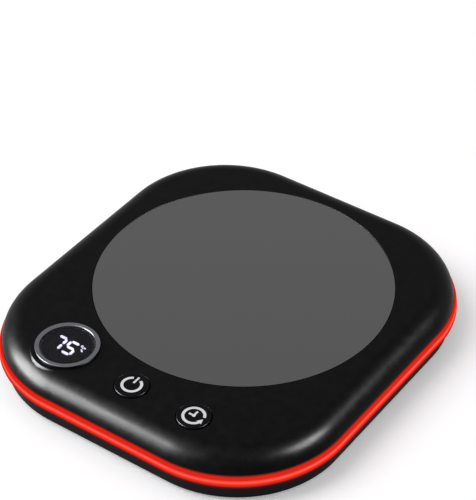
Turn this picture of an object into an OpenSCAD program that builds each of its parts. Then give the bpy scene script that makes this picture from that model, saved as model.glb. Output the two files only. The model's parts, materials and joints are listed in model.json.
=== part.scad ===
// Electric mug warmer: a low base with rounded corners, a round glass warming plate, a light band
// round its waist, a round temperature display and two push buttons along its front edge.
// Millimetres. X runs to the right, -Y is the front and +Z is up. The origin lies on the table,
// under the middle of the base.

/* [Base] */
// Width of the cover on either side of the warming plate
side_margin = 13.6; // [12.4:0.1:16]
// Width of the cover behind the warming plate
rear_margin = 12; // [10.8:0.1:14.4]
// Height of the lower casing, from its underside to the light band
casing_h = 7.1; // [6.8:0.1:8.4]
// Height of the upper cover above the light band
cover_h = 7; // [6.4:0.1:8.4]
// Radius of the four corners, seen from above
corner_r = 41; // [38:0.5:43]
// Radius of the rounded upper edge
edge_r = 8; // [7.2:0.2:9.2]
// Wall thickness of both covers
wall = 2; // [1.7:0.1:2.3]
// How far the lower casing leans in from the light band down to its underside
base_slope = 2; // [1:0.1:2.8]
// Rounding of the lower casing's bottom edge
base_round = 0.8; // [0.4:0.1:1.4]
// Step from the widest outline in to the rim of the lower casing
rim_step = 0.4; // [0.2:0.1:0.6]

/* [Feet and housing screws] */
// Height of the rubber feet below the lower casing
foot_h = 0.9; // [0.6:0.1:1.6]
// Radius of a foot
foot_r = 7; // [5.5:0.5:8]
// Depth of the recess that a foot is glued into
foot_recess = 0.5; // [0.3:0.1:0.8]
// Distance of feet and housing screws in from the outline, across the corner
foot_inset = 12.5; // [12:0.5:15]
// Radius of the housing screws' shank
screw_r = 1.1; // [1:0.1:1.3]
// Radius of the housing screws' head
screw_head_r = 2.3; // [2:0.1:2.6]
// Height of the housing screws' head
screw_head_h = 1.6; // [1.2:0.1:1.8]
// Radius of the posts that the housing screws bite into
post_r = 3.2; // [2.8:0.1:3.5]

/* [Light band] */
// Height of the band between the two covers
band_h = 4; // [3.2:0.1:4.4]
// How far the band leans in from its lower edge, the widest outline, up to the upper cover
band_lean = 1.2; // [0.9:0.1:1.5]
// Depth of the band's lower edge in front of its lip
band_t = 1.6; // [1.5:0.1:1.9]
// Thickness of the two lips that are trapped behind the rims
flange_t = 1.2; // [0.9:0.1:1.5]
// How far each lip reaches behind its rim
flange_lap = 0.6; // [0.4:0.1:0.8]
// Distance of the carrier rib of the light strip in from the outline
rib_inset = 7; // [6.6:0.1:7.4]
// Thickness of the carrier rib
rib_t = 1.2; // [0.9:0.1:1.5]
// Width of the flexible light strip
strip_w = 4; // [3.2:0.1:4.4]
// Thickness of the flexible light strip
strip_t = 0.3; // [0.2:0.05:0.5]
// Length, depth and height of one light on the strip
led_size = [2.8, 0.8, 2];
// Number of lights round each corner
corner_leds = 4; // [3:1:5]
// Number of lights along each straight run
run_leds = 4; // [2:2:4]

/* [Warming plate] */
// Radius of the glass plate
plate_r = 51.7; // [47:0.5:58]
// Thickness of the glass plate
plate_t = 3.2; // [2.6:0.1:3.6]
// Open joint between the glass and the cover
plate_gap = 0.2; // [0.1:0.05:0.4]
// Bevel on the glass rim
plate_bevel = 0.3; // [0.1:0.05:0.5]
// Width of the ledge that carries the glass
ledge_w = 5.2; // [4:0.1:6]
// Thickness of the ledge
ledge_t = 2; // [1.6:0.1:2.4]
// Thickness of the silicone gasket under the glass
gasket_t = 0.5; // [0.3:0.1:0.8]
// Thickness of the aluminium heat spreader
spreader_t = 1; // [0.8:0.1:1.2]
// Thickness of the heating element
element_t = 1; // [0.6:0.1:1.2]
// Thickness of the insulation pad
pad_t = 2; // [1.6:0.1:2.2]
// Thickness of the steel bracket that holds the heater up
bracket_t = 1; // [0.8:0.1:1.2]
// Distance of the bracket's, pad's and element's rim in from the ledge
heater_inset = 3.5; // [3:0.1:5]
// Distance of the bracket screws out from the ledge's inner edge
ear_out = 3; // [2.6:0.1:3.4]
// Radius of the bracket's ears and of the posts above them
ear_post_r = 3; // [2.6:0.1:3.2]
// Radius of the small screws' shank
small_screw_r = 0.9; // [0.8:0.1:1]
// Radius of the small screws' head
small_head_r = 1.8; // [1.6:0.1:2]
// Height of the small screws' head
small_head_h = 1.3; // [1:0.1:1.5]
// Length of the small screws' shank
small_screw_l = 3.4; // [3:0.1:3.6]

/* [Buttons] */
// Level strip between the rounded upper edge and the buttons
button_margin = 1.5; // [0.8:0.1:3]
// Level strip between the buttons and the warming plate
button_plate_gap = 5.3; // [4:0.1:8]
// Distance of the timer button's centre from the right side. The power button is in the middle.
timer_side = 40.5; // [38:0.1:42]
// Radius of a button cap
button_r = 5.7; // [5.2:0.1:6]
// Height of a cap above the cover
button_rise = 0.5; // [0.3:0.1:0.8]
// Travel of a button
button_travel = 0.6; // [0.3:0.1:0.6]
// Open joint round a cap
button_gap = 0.25; // [0.15:0.05:0.4]
// Rounding of a cap's upper edge
button_edge = 0.4; // [0.2:0.1:0.5]
// Width of the flange that keeps a cap in its hole
button_flange = 1.2; // [0.8:0.1:1.4]
// Thickness of that flange
button_flange_t = 1.2; // [0.8:0.1:1.4]
// Radius of a cap's stem
stem_r = 2.2; // [1.8:0.1:2.6]
// Depth of the light-coloured symbols in the caps
symbol_t = 0.6; // [0.4:0.1:1]
// Line width of the symbols' rings
symbol_line = 1.1; // [0.9:0.05:1.25]
// Line width of the bar and the clock hands
hand_line = 0.85; // [0.7:0.05:1]
// Outer radius of the power symbol
power_symbol_r = 3.75; // [3.4:0.05:4.1]
// Outer radius of the timer symbol
timer_symbol_r = 4.05; // [3.6:0.05:4.2]

/* [Display] */
// Level strip between the bezel ring and the warming plate
display_gap = 3.9; // [3.4:0.1:4.9]
// Turn of the display round the plate, from the front to the left
display_turn = 25.75; // [25:0.25:27]
// Outer radius of the bezel ring
display_r = 10.9; // [10.4:0.1:11.3]
// Width of the bezel ring
bezel_w = 1.6; // [1.3:0.1:2]
// Height of the ring above the cover
bezel_rise = 0.95; // [0.6:0.05:1.4]
// Bevel on the ring's two upper edges
bezel_bevel = 0.35; // [0.2:0.05:0.4]
// Distance of the lens below the top of the ring
lens_drop = 0.2; // [0.1:0.05:0.4]
// Thickness of the lens
lens_t = 0.8; // [0.6:0.1:1.2]
// Width of the step that carries the lens
lens_step = 0.6; // [0.4:0.1:0.8]
// Wall of the sleeve below the ring
sleeve_t = 1.4; // [1:0.1:1.6]
// Length of the sleeve below the cover's top
sleeve_l = 3.5; // [2.6:0.1:4]
// Rim of the level pad round the bezel
display_pad_w = 1.3; // [0.9:0.1:1.6]
// Air between the corners of the display module and the sleeve
module_room = 0.6; // [0.4:0.1:0.8]
// Width of a digit
digit_w = 4.4; // [4:0.1:4.6]
// Height of a digit
digit_h = 6.7; // [6:0.1:7]
// Line width of a digit's segments
digit_line = 1; // [0.8:0.05:1.1]
// Space between the digits
digit_gap = 0.7; // [0.5:0.1:0.9]
// Height of the small degree sign and letter
unit_h = 2.2; // [1.8:0.1:2.6]
// Thickness of the lit segments
digit_t = 0.3; // [0.2:0.1:0.5]

/* [Electronics] */
// Air between the heater's plug housing and the plate's ledge above it
plug_room = 1; // [0.6:0.1:1.4]
// Thickness of the control board
board_t = 1.6; // [1.2:0.1:1.6]
// Distance of the board's front edge from the front of the base
board_front = 9.4; // [9.1:0.1:9.8]
// Depth of the board
board_d = 20; // [19.5:0.1:21]
// Distance of the board's right end from the timer button
board_end = 13.2; // [12.6:0.1:13.6]
// Radius of the bosses under the board
boss_r = 2.4; // [2:0.1:2.6]
// Width of the push switches
switch_w = 6; // [5:0.1:6.4]
// Height of the push switches' housing
switch_h = 3.4; // [3:0.1:3.8]
// Radius of the switch plungers
plunger_r = 1.7; // [1.4:0.1:1.9]
// Length of the plungers above their housing
plunger_rise = 1.5; // [1.2:0.1:1.8]
// Radius of the insulated leads
lead_r = 0.6; // [0.4:0.05:0.65]

/* [Power inlet] */
// Outer width of the inlet's metal shell
inlet_w = 8.94;
// Outer height of the shell
inlet_h = 3.26;
// Length of the shell
inlet_l = 7.4; // [7:0.1:8]
// Thickness of the shell's sheet metal
inlet_sheet = 0.3;
// Width of the contact tongue inside
tongue_w = 6.7;
// Thickness of the contact tongue
tongue_t = 0.7;
// How far the shell sits back from the casing's face
inlet_recess = 0.6; // [0.5:0.1:1]
// Thickness of the inlet's own board
inlet_board_t = 0.8; // [0.6:0.1:1]
// Width and depth of the inlet's own board
inlet_board_size = [24, 12];

/* [Vents] */
// Number of slots in the floor
vent_count = 7; // [3:1:9]
// Width of a slot
vent_w = 2; // [1.5:0.1:3]
// Length of a slot
vent_l = 36; // [20:1:40]
// Distance from slot to slot
vent_pitch = 5; // [4:0.5:6]

/* [Fits] */
// Clearance round parts that are pushed into each other
fit = 0.1; // [0.05:0.05:0.15]
// Air gap left beside parts that only pass each other
air = 0.3; // [0.2:0.05:0.4]

/* [Hidden] */
$fn = 96;
lap = 1;
// Plan: the warming plate with its margins, and the strip for the buttons in front of it
arc_x = band_lean + edge_r;
button_front = arc_x + button_margin + button_r;
front_margin = button_front + button_r + button_plate_gap;
body_w = 2 * (plate_r + side_margin);
body_d = front_margin + 2 * plate_r + rear_margin;
plate_y = (front_margin - rear_margin) / 2;
front_y = -body_d / 2;
corner_x = body_w / 2 - corner_r;
corner_y = body_d / 2 - corner_r;
// Heights of the casing: lower casing, light band and upper cover
base_z = foot_h;
floor_z = base_z + wall;
band_z = base_z + casing_h;
band_top = band_z + band_h;
body_h = band_top + cover_h;
arc_z = body_h - edge_r;
ceiling_z = body_h - wall;
lean = atan(base_slope / (band_z - base_z));
// Light band: its face is an arc that starts upright and ends at the upper cover's rim, and its
// upper lip lies as much further in as that rim
rim_x = arc_x - sqrt(pow(edge_r, 2) - pow(max(band_top - arc_z, 0), 2));
band_arc_r = (pow(rim_x, 2) + pow(band_h, 2)) / (2 * rim_x);
lip_shift = rim_x - rim_step;
lip_inset = band_t - fit;
seat_low = band_z - flange_lap;
seat_high = band_top + flange_lap;
// Carrier rib, light strip and lights
rib_top = band_top + air;
strip_z = band_z + (band_h - strip_w) / 2;
led_z = band_z + (band_h - led_size.z) / 2;
// Housing screws and feet
head_room = 0.9;
seat_t = 1.8;
screw_tip_room = 3;
post_wall = 1.3;
foot_reach = (corner_r - foot_inset) * sin(45);
foot_x = corner_x + foot_reach;
foot_y = corner_y + foot_reach;
recess_z = base_z + foot_recess;
head_seat_z = recess_z + screw_head_h + head_room;
joint_z = head_seat_z + seat_t;
screw_tip_z = ceiling_z - screw_tip_room;
// Warming plate, from the glass down
plate_z = body_h - plate_t;
ledge_z = plate_z - gasket_t;
ledge_low = ledge_z - ledge_t;
ledge_r = plate_r - ledge_w;
heater_r = ledge_r - heater_inset;
ear_r = ledge_r + ear_out;
pocket_r = plate_r + plate_gap;
pocket_wall_r = pocket_r + wall;
spreader_z = plate_z - spreader_t;
element_z = spreader_z - element_t;
pad_z = element_z - pad_t;
bracket_z = pad_z - bracket_t;
// Buttons
button_y = front_y + button_front;
button_pitch = body_w / 2 - timer_side;
cap_top = body_h + button_rise;
flange_top = ceiling_z - 2 * fit;
flange_z = flange_top - button_flange_t;
// Display
display_reach = plate_r + display_gap + display_r;
display_x = display_reach * sin(display_turn);
display_y = plate_y - display_reach * cos(display_turn);
bezel_top = body_h + bezel_rise;
lens_top = bezel_top - lens_drop;
lens_z = lens_top - lens_t;
lens_hole_r = display_r - bezel_w;
lens_r = lens_hole_r - fit;
sleeve_in_r = lens_hole_r - lens_step;
sleeve_out_r = sleeve_in_r + sleeve_t;
sleeve_z = body_h - sleeve_l;
digits_z = lens_z - digit_t;
module_turn = 33;
module_size = 2 * (sleeve_in_r - module_room) * [cos(module_turn), sin(module_turn)];
unit_w = unit_h * 0.75;
unit_gap = 1;
unit_line = digit_line * 0.55;
degree_r = unit_h * 0.22;
digits_w = 2 * digit_w + digit_gap + unit_gap + unit_w;
// Control board and what stands on it
board_margin = 3;
board_screw_side = 4.2;
board_screw_rear = 2;
heater_plug_size = [8, 6, 4.2];
sensor_plug_size = [6, 5, 3.2];
light_plug_size = [5, 4, 3.2];
plug_wall = 0.6;
board_top = ledge_low - plug_room - heater_plug_size.z;
board_z = board_top - board_t;
board_y = front_y + board_front;
board_rear = board_y + board_d;
board_left = -display_x - module_size.x / 2 - board_margin;
board_right = button_pitch + board_end;
switch_top = board_top + switch_h;
switch_floor = 0.5;
plunger_top = switch_top + plunger_rise;
plunger_z = board_top + switch_floor + button_travel + fit;
stem_z = plunger_top + fit / 2;
rear_row = board_rear - lap;
display_side_x = module_size.x / 2 - display_x;
transistor_size = [6.4, 6, 2.3];
heater_screw_x = button_pitch - transistor_size.x / 2 - board_screw_side;
board_screws_at = [
    [display_side_x + board_screw_side, rear_row - board_screw_rear],
    [heater_screw_x, rear_row - board_screw_rear],
    [board_right - board_margin, button_y],
    [display_side_x + board_screw_side, board_y + board_margin],
];
chip_size = [6.4, 6, 1.5];
chip_x = (display_side_x + board_screw_side + small_head_r - switch_w / 2) / 2;
capacitor_r = 2.5;
capacitor_h = 4.2;
capacitor_side = 7.5;
lead_pitch = 2 * lead_r + 0.4;
heater_plug_x = (lead_pitch / 2 + lead_r + heater_screw_x - small_head_r) / 2;
sensor_plug_x = -heater_plug_x;
light_plug_x = button_pitch / 2;
light_plug_y = button_y - light_plug_size.y / 2;
// Heater fittings
notch_r = 3.2;
thermistor_r = 2.6;
thermistor_t = 1.4;
thermistor_off = 8;
thermistor_y = plate_y - thermistor_off;
fuse_r = 2;
fuse_l = 11;
fuse_off = 16;
fuse_wire_l = 10;
lead_hole_in = 7;
plug_pin_x = 1.6;
fuse_x = heater_plug_x + plug_pin_x;
fuse_z = bracket_z - fuse_r - fit / 2;
fuse_y = plate_y - fuse_off;
fuse_hole_y = fuse_y + fuse_l + fuse_wire_l;
lead_hole_y = plate_y - heater_r + lead_hole_in;
clip_t = 0.5;
clip_l = 5;
// Power inlet at the back
inlet_lift = 0.5;
inlet_screw_side = 2.6;
inlet_z = floor_z + inlet_h / 2 + inlet_lift;
inlet_face = body_d / 2 - slope_in(inlet_z) - inlet_recess;
inlet_back = inlet_face - inlet_l;
inlet_board_z = inlet_z - inlet_board_t / 2;
inlet_board_top = inlet_board_z + inlet_board_t;
inlet_board_rear = body_d / 2 - slope_in(inlet_z) - wall - 1;
inlet_board_front = inlet_board_rear - inlet_board_size.y;
inlet_screw_x = inlet_board_size.x / 2 - inlet_screw_side;
inlet_screw_y = inlet_board_front + inlet_screw_side;
wing_w = 1.5;
tongue_base = 2;
// Leads
lead_steps = 5;
lead_sides = 8;
lead_end = 2.4;
lead_straight = 3;
lead_bend = 5;
lead_run_z = floor_z + lead_r + air;

// ---- Shared shapes ----

// Inset of the lower casing's face from the outline at a height
function slope_in(z) = rim_step + base_slope * (band_z - z) / (band_z - base_z);

// Sweeps a section round the plan. The section's x is the distance in from the outline and its
// y is the height. $reach tells it how far in it has to run to close the middle.
module around_plan() {
    for (sx = [0, 1])
        for (sy = [0, 1])
            mirror([sx, 0, 0])
                mirror([0, sy, 0])
                    translate([corner_x, corner_y, 0])
                        rotate_extrude(angle = 90)
                            translate([corner_r, 0])
                                mirror([1, 0])
                                    let ($reach = corner_r) children();
    rotate([90, 0, 90])
        linear_extrude(height = 2 * corner_x, center = true)
            two_sides(body_d / 2) children();
    rotate([90, 0, 0])
        linear_extrude(height = 2 * corner_y, center = true)
            two_sides(body_w / 2) children();
}

// A section drawn from both outlines in to the middle
module two_sides(half) {
    for (side = [0, 1])
        mirror([side, 0])
            translate([-half, 0])
                let ($reach = half) children();
}

// A slab that follows the plan, drawn in by inset
module plan_slab(inset, low, high) {
    around_plan()
        translate([inset, low])
            square([$reach - inset, high - low]);
}

// Section of all that lies inside the upper skin, drawn in by inset and cut off at a height
module skin_section(inset, low) {
    skin_x = band_lean + inset;
    intersection() {
        translate([skin_x, low])
            square([$reach - skin_x, body_h - inset - low]);
        union() {
            translate([arc_x, arc_z])
                circle(r = edge_r - inset);
            translate([arc_x, 0])
                square([$reach - arc_x, body_h]);
            square([arc_x, arc_z]);
        }
    }
}

// Four copies, one at each corner screw
module at_corners() {
    for (sx = [-1, 1])
        for (sy = [-1, 1])
            translate([sx * foot_x, sy * foot_y, 0])
                children();
}

// Four copies, one at each ear of the heater bracket
module at_ears() {
    for (turn = [45, 135, 225, 315])
        translate([ear_r * cos(turn), plate_y + ear_r * sin(turn), 0])
            children();
}

// A disc centred under the warming plate
module plate_disc(r, low, high) {
    translate([0, plate_y, low])
        cylinder(r = r, h = high - low);
}

// A flat ring with a round hole
module washer(outer, inner, low, high) {
    translate([0, 0, low])
        linear_extrude(height = high - low)
            difference() {
                circle(r = outer);
                circle(r = inner);
            }
}

// A screw that points up, with its head below the height seat
module screw_up(shank, length, head, head_h, seat) {
    translate([0, 0, seat])
        cylinder(r = shank, h = length);
    difference() {
        translate([0, 0, seat - head_h])
            cylinder(r = head, h = head_h);
        translate([0, 0, seat - head_h])
            cross_slot(head, head_h / 2);
    }
}

// A screw that points down, with its head on the height seat
module screw_down(shank, length, head, head_h, seat) {
    translate([0, 0, seat])
        mirror([0, 0, 1])
            screw_up(shank, length, head, head_h, 0);
}

// The driver slot of a screw head
module cross_slot(head, depth) {
    for (turn = [0, 90])
        rotate([0, 0, turn])
            translate([-head * 0.7, -head * 0.12, -lap])
                cube([head * 1.4, head * 0.24, depth + lap]);
}

// A block that stands on a height, centred in plan
module block(x, y, low, size) {
    translate([x - size.x / 2, y - size.y / 2, low])
        cube(size);
}

// The outline of the inlet: a bar with round ends
module inlet_outline(grow) {
    end_r = inlet_h / 2 + grow;
    end_x = (inlet_w - inlet_h) / 2;
    square([2 * end_x, 2 * end_r], center = true);
    for (side = [-1, 1])
        translate([side * end_x, 0])
            circle(r = end_r);
}

// That outline, extruded between two places along Y
module inlet_prism(grow, from, to) {
    translate([0, to, inlet_z])
        rotate([90, 0, 0])
            linear_extrude(height = to - from)
                inlet_outline(grow);
}

// One point of a smooth curve through four points
function curve_at(a, b, c, d, t) =
    0.5 * (2 * b + (c - a) * t + (2 * a - 5 * b + 4 * c - d) * t * t
        + (3 * b - a - 3 * c + d) * t * t * t);

// A smooth path through a list of points
function smooth_path(p) = concat(
    [for (i = [0 : len(p) - 2])
        for (k = [0 : lead_steps - 1])
            curve_at(p[max(i - 1, 0)], p[i], p[i + 1], p[min(i + 2, len(p) - 1)], k / lead_steps)],
    [p[len(p) - 1]]);

// One ring of a lead's skin. The leads run front to back, so each ring has a side along X.
function lead_ring(centre, run, r) =
    let (up = cross(run, [1, 0, 0]) / norm(cross(run, [1, 0, 0])))
    let (side = cross(up, run) / norm(run))
    [for (k = [0 : lead_sides - 1])
        centre + r * cos(360 * k / lead_sides) * side + r * sin(360 * k / lead_sides) * up];

// An insulated lead along a list of points
module lead(points, r = lead_r) {
    path = smooth_path(points);
    last = len(path) - 1;
    skin = [for (i = [0 : last])
        each lead_ring(path[i], path[min(i + 1, last)] - path[max(i - 1, 0)], r)];
    sides = [for (i = [0 : last - 1])
        for (k = [0 : lead_sides - 1])
            let (next = (k + 1) % lead_sides)
            [i * lead_sides + k, (i + 1) * lead_sides + k,
                (i + 1) * lead_sides + next, i * lead_sides + next]];
    start_cap = [for (k = [0 : lead_sides - 1]) k];
    end_cap = [for (k = [lead_sides - 1 : -1 : 0]) last * lead_sides + k];
    polyhedron(points = skin, faces = concat(sides, [start_cap], [end_cap]), convexity = 6);
}

// ---- Covers ----

// Section of the upper shell, with the rebate for the upper lip of the light band
module top_section() {
    difference() {
        skin_section(0, band_top);
        skin_section(wall, band_top - lap);
        translate([lip_inset + lip_shift, band_top - lap])
            square([flange_t + lap, seat_high - band_top + lap]);
    }
}

module top_cover() {
    color("#18191b")
    difference() {
        union() {
            around_plan() top_section();
            plate_disc(pocket_wall_r, ledge_low, ceiling_z + wall / 2);
            translate([-display_x, display_y, ceiling_z])
                cylinder(r = display_r + display_pad_w, h = wall);
            at_corners()
                translate([0, 0, joint_z])
                    cylinder(r = post_r, h = ceiling_z + wall / 4 - joint_z);
            at_ears()
                translate([0, 0, pad_z])
                    cylinder(r = ear_post_r, h = ledge_low + ledge_t / 2 - pad_z);
        }
        plate_disc(pocket_r, ledge_z, body_h + lap);
        plate_disc(ledge_r, ledge_low - lap, body_h);
        at_corners()
            translate([0, 0, joint_z - lap])
                cylinder(r = screw_r, h = screw_tip_z - joint_z + 2 * lap);
        at_ears()
            translate([0, 0, pad_z - lap])
                cylinder(r = small_screw_r, h = small_screw_l - bracket_t + lap + fit);
        for (x = [0, button_pitch])
            translate([x, button_y, ceiling_z - lap])
                cylinder(r = button_r + button_gap, h = wall + 2 * lap);
        translate([-display_x, display_y, sleeve_z - fit])
            cylinder(r = sleeve_out_r + fit, h = sleeve_l + lap);
    }
}

// Section of the lower shell: leaning wall, rounded bottom edge, floor and carrier rib
module bottom_section() {
    wall_in = wall / cos(lean);
    round_z = base_z + base_round;
    round_x = slope_in(round_z) + base_round / cos(lean);
    bottom_edge = [for (k = [0 : 6])
        let (turn = 270 - (90 - lean) * k / 6)
        [round_x + base_round * cos(turn), round_z + base_round * sin(turn)]];
    polygon(concat(
        [[$reach, base_z]],
        bottom_edge,
        [[rim_step, band_z], [lip_inset, band_z], [lip_inset, seat_low],
            [slope_in(seat_low) + wall_in, seat_low], [slope_in(floor_z) + wall_in, floor_z],
            [$reach, floor_z]]));
    translate([rib_inset, base_z + wall / 2])
        square([rib_t, rib_top - base_z - wall / 2]);
}

module bottom_cover() {
    color("#26262a")
    difference() {
        union() {
            around_plan() bottom_section();
            at_corners()
                translate([0, 0, base_z + wall / 2])
                    cylinder(r = post_r + post_wall, h = joint_z - base_z - wall / 2);
            for (at = board_screws_at)
                translate([at.x, at.y, base_z + wall / 2])
                    cylinder(r = boss_r, h = board_z - base_z - wall / 2);
            for (side = [-1, 1])
                translate([side * inlet_screw_x, inlet_screw_y, base_z + wall / 2])
                    cylinder(r = boss_r, h = inlet_board_z - base_z - wall / 2);
        }
        at_corners() {
            translate([0, 0, base_z - lap])
                cylinder(r = foot_r + fit, h = foot_recess + lap);
            translate([0, 0, base_z - lap])
                cylinder(r = screw_head_r + 2 * fit, h = head_seat_z - base_z + lap);
            translate([0, 0, base_z - lap])
                cylinder(r = screw_r + fit, h = joint_z - base_z + 2 * lap);
        }
        for (at = board_screws_at)
            translate([at.x, at.y, board_top - small_screw_l - fit])
                cylinder(r = small_screw_r, h = small_screw_l + lap);
        for (side = [-1, 1])
            translate([side * inlet_screw_x, inlet_screw_y, inlet_board_top - small_screw_l - fit])
                cylinder(r = small_screw_r, h = small_screw_l + lap);
        inlet_prism(air, inlet_board_rear, body_d / 2 + lap);
        block(0, inlet_board_front + inlet_board_size.y / 2, floor_z,
            [inlet_board_size.x + 2 * air, inlet_board_size.y, strip_z - air - floor_z]);
        block(light_plug_x, front_y + rib_inset + rib_t / 2, strip_z,
            [4 * lead_pitch, rib_t + 2 * fit, rib_top + lap - strip_z]);
        for (k = [0 : vent_count - 1])
            block((k - (vent_count - 1) / 2) * vent_pitch, plate_y, base_z - lap,
                [vent_w, vent_l, wall + 2 * lap]);
    }
}

// Section of the light band: a leaning, bulging face and the two lips behind the rims
module band_section() {
    back = band_t + flange_t;
    intersection() {
        polygon([[0, band_z], [band_t, band_z], [band_t, seat_low], [back, seat_low], [back, band_z],
            [back + lip_shift, band_top], [back + lip_shift, seat_high],
            [band_t + lip_shift, seat_high], [band_t + lip_shift, band_top], [0, band_top]]);
        translate([band_arc_r, band_z])
            circle(r = band_arc_r);
    }
}

module light_band() {
    color("#ff4a38")
        around_plan() band_section();
}

// ---- Feet and housing screws ----

module foot(sx, sy) {
    color("#1d1d1f")
    translate([sx * foot_x, sy * foot_y, 0]) {
        cylinder(r1 = foot_r - foot_h / 3, r2 = foot_r, h = foot_h / 3);
        translate([0, 0, foot_h / 3])
            cylinder(r = foot_r, h = recess_z - foot_h / 3);
    }
}

module foot_front_left() {
    foot(-1, -1);
}

module foot_front_right() {
    foot(1, -1);
}

module foot_rear_left() {
    foot(-1, 1);
}

module foot_rear_right() {
    foot(1, 1);
}

module housing_screws() {
    color("#9a9ca0")
        at_corners()
            screw_up(screw_r, screw_tip_z - head_seat_z, screw_head_r, screw_head_h, head_seat_z);
}

// ---- Warming plate ----

module glass_plate() {
    color("#2b2c30")
        translate([0, plate_y, 0])
            rotate_extrude()
                polygon([[0, plate_z], [plate_r, plate_z], [plate_r, body_h - plate_bevel],
                    [plate_r - plate_bevel, body_h], [0, body_h]]);
}

module plate_gasket() {
    color("#c8c8c4")
        translate([0, plate_y, 0])
            washer(plate_r - plate_gap, ledge_r + fit, ledge_z, plate_z);
}

module heat_spreader() {
    color("#b9bcc0")
        plate_disc(ledge_r - lap, spreader_z, plate_z);
}

module heating_element() {
    color("#b98a4a")
        plate_disc(heater_r, element_z, spreader_z);
}

// The openings through which leads and sensor reach the heating element
module heater_openings() {
    for (at = [[heater_plug_x - fit, lead_hole_y], [fuse_x, fuse_hole_y], [sensor_plug_x, thermistor_y]])
        translate([at.x, at.y, bracket_z - lap])
            cylinder(r = notch_r, h = pad_t + bracket_t + lap + fit);
}

module insulation_pad() {
    color("#e6e2d6")
        difference() {
            plate_disc(heater_r, pad_z, element_z);
            heater_openings();
        }
}

module heater_bracket() {
    color("#8f9296")
        difference() {
            union() {
                plate_disc(heater_r, bracket_z, pad_z);
                at_ears()
                    translate([0, 0, bracket_z])
                        cylinder(r = ear_post_r, h = bracket_t);
                for (turn = [45, 135, 225, 315])
                    translate([0, plate_y, bracket_z])
                        rotate([0, 0, turn])
                            translate([heater_r - 2 * ear_post_r, -ear_post_r, 0])
                                cube([ear_r - heater_r + 2 * ear_post_r, 2 * ear_post_r, bracket_t]);
            }
            heater_openings();
            at_ears()
                translate([0, 0, bracket_z - lap])
                    cylinder(r = small_screw_r + fit, h = bracket_t + 2 * lap);
        }
}

module bracket_screws() {
    color("#9a9ca0")
        at_ears()
            screw_up(small_screw_r, small_screw_l, small_head_r, small_head_h, bracket_z);
}

module thermistor() {
    color("#3d6b4f")
        translate([sensor_plug_x, thermistor_y, element_z - thermistor_t])
            cylinder(r = thermistor_r, h = thermistor_t);
}

module thermal_fuse() {
    color("#d9d4c4")
        translate([fuse_x, fuse_y, fuse_z])
            rotate([-90, 0, 0])
                cylinder(r = fuse_r, h = fuse_l);
}

module fuse_clip() {
    foot_w = 3;
    inner = fuse_r + fit;
    outer = inner + clip_t;
    color("#a4a7ab")
        translate([fuse_x, fuse_y + (fuse_l + clip_l) / 2, fuse_z])
            rotate([90, 0, 0])
                linear_extrude(height = clip_l)
                    difference() {
                        union() {
                            circle(r = outer);
                            translate([-outer, 0])
                                square([2 * outer, bracket_z - fuse_z]);
                            translate([-outer - foot_w, bracket_z - fuse_z - clip_t])
                                square([2 * (outer + foot_w), clip_t]);
                        }
                        circle(r = inner);
                        translate([-inner, 0])
                            square([2 * inner, bracket_z - fuse_z + lap]);
                    }
}

// ---- Controls ----

// A button cap with its rounded top edge, flange and stem, as one turned section
module button_cap() {
    edge = [for (k = [0 : 4])
        [button_r - button_edge * (1 - cos(90 * k / 4)), cap_top - button_edge * (1 - sin(90 * k / 4))]];
    rotate_extrude()
        polygon(concat(
            [[0, stem_z], [stem_r, stem_z], [stem_r, flange_z], [button_r + button_flange, flange_z],
                [button_r + button_flange, flange_top], [button_r, flange_top]],
            edge,
            [[0, cap_top]]));
}

// A ring with a mouth cut out of it, from one angle to another
module open_ring(r, line, grow, mouth_from, mouth_to) {
    difference() {
        circle(r = r + grow);
        circle(r = r - line - grow);
        polygon([[0, 0], 2 * r * [cos(mouth_from), sin(mouth_from)],
            2 * r * [cos(mouth_to), sin(mouth_to)]]);
    }
}

// A straight bar from the point from, along +Y
module bar(from, length, line, grow) {
    translate([from.x - line / 2 - grow, from.y - grow])
        square([line + 2 * grow, length + 2 * grow]);
}

// The power symbol: a ring open at the back, with an upright bar in the opening
module power_symbol_shape(grow) {
    half_mouth = 24;
    bar_from = power_symbol_r * 0.22;
    open_ring(power_symbol_r, symbol_line, grow, 90 - half_mouth, 90 + half_mouth);
    bar([0, bar_from], power_symbol_r - bar_from + symbol_line * 0.3, hand_line, grow);
}

// The timer symbol: a round arrow with two clock hands
module timer_symbol_shape(grow) {
    mouth_from = -26;
    mouth_to = 17;
    head_w = symbol_line * 1.05;
    head_l = symbol_line * 1.8;
    head_lap = symbol_line * 0.2;
    head_turn = 15;
    hand_l = timer_symbol_r * 0.55;
    open_ring(timer_symbol_r, symbol_line, grow, mouth_from, mouth_to);
    rotate([0, 0, mouth_from])
        translate([timer_symbol_r - symbol_line / 2, 0])
            rotate([0, 0, head_turn])
                polygon([[-head_w - grow, -head_lap], [head_w + grow, -head_lap], [0, head_l + grow]]);
    bar([0, 0], hand_l, hand_line, grow);
    rotate([0, 0, 90])
        bar([0, 0], hand_l * 0.9, hand_line, grow);
    circle(r = hand_line * 0.8 + grow);
}

module power_button() {
    color("#1c1d20")
        translate([0, button_y, 0])
            difference() {
                button_cap();
                translate([0, 0, cap_top - symbol_t])
                    linear_extrude(height = symbol_t + lap)
                        power_symbol_shape(fit / 2);
            }
}

module power_symbol() {
    color("#d4d5d8")
        translate([0, button_y, cap_top - symbol_t])
            linear_extrude(height = symbol_t)
                power_symbol_shape(0);
}

module timer_button() {
    color("#1c1d20")
        translate([button_pitch, button_y, 0])
            difference() {
                button_cap();
                translate([0, 0, cap_top - symbol_t])
                    linear_extrude(height = symbol_t + lap)
                        timer_symbol_shape(fit / 2);
            }
}

module timer_symbol() {
    color("#d4d5d8")
        translate([button_pitch, button_y, cap_top - symbol_t])
            linear_extrude(height = symbol_t)
                timer_symbol_shape(0);
}

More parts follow.
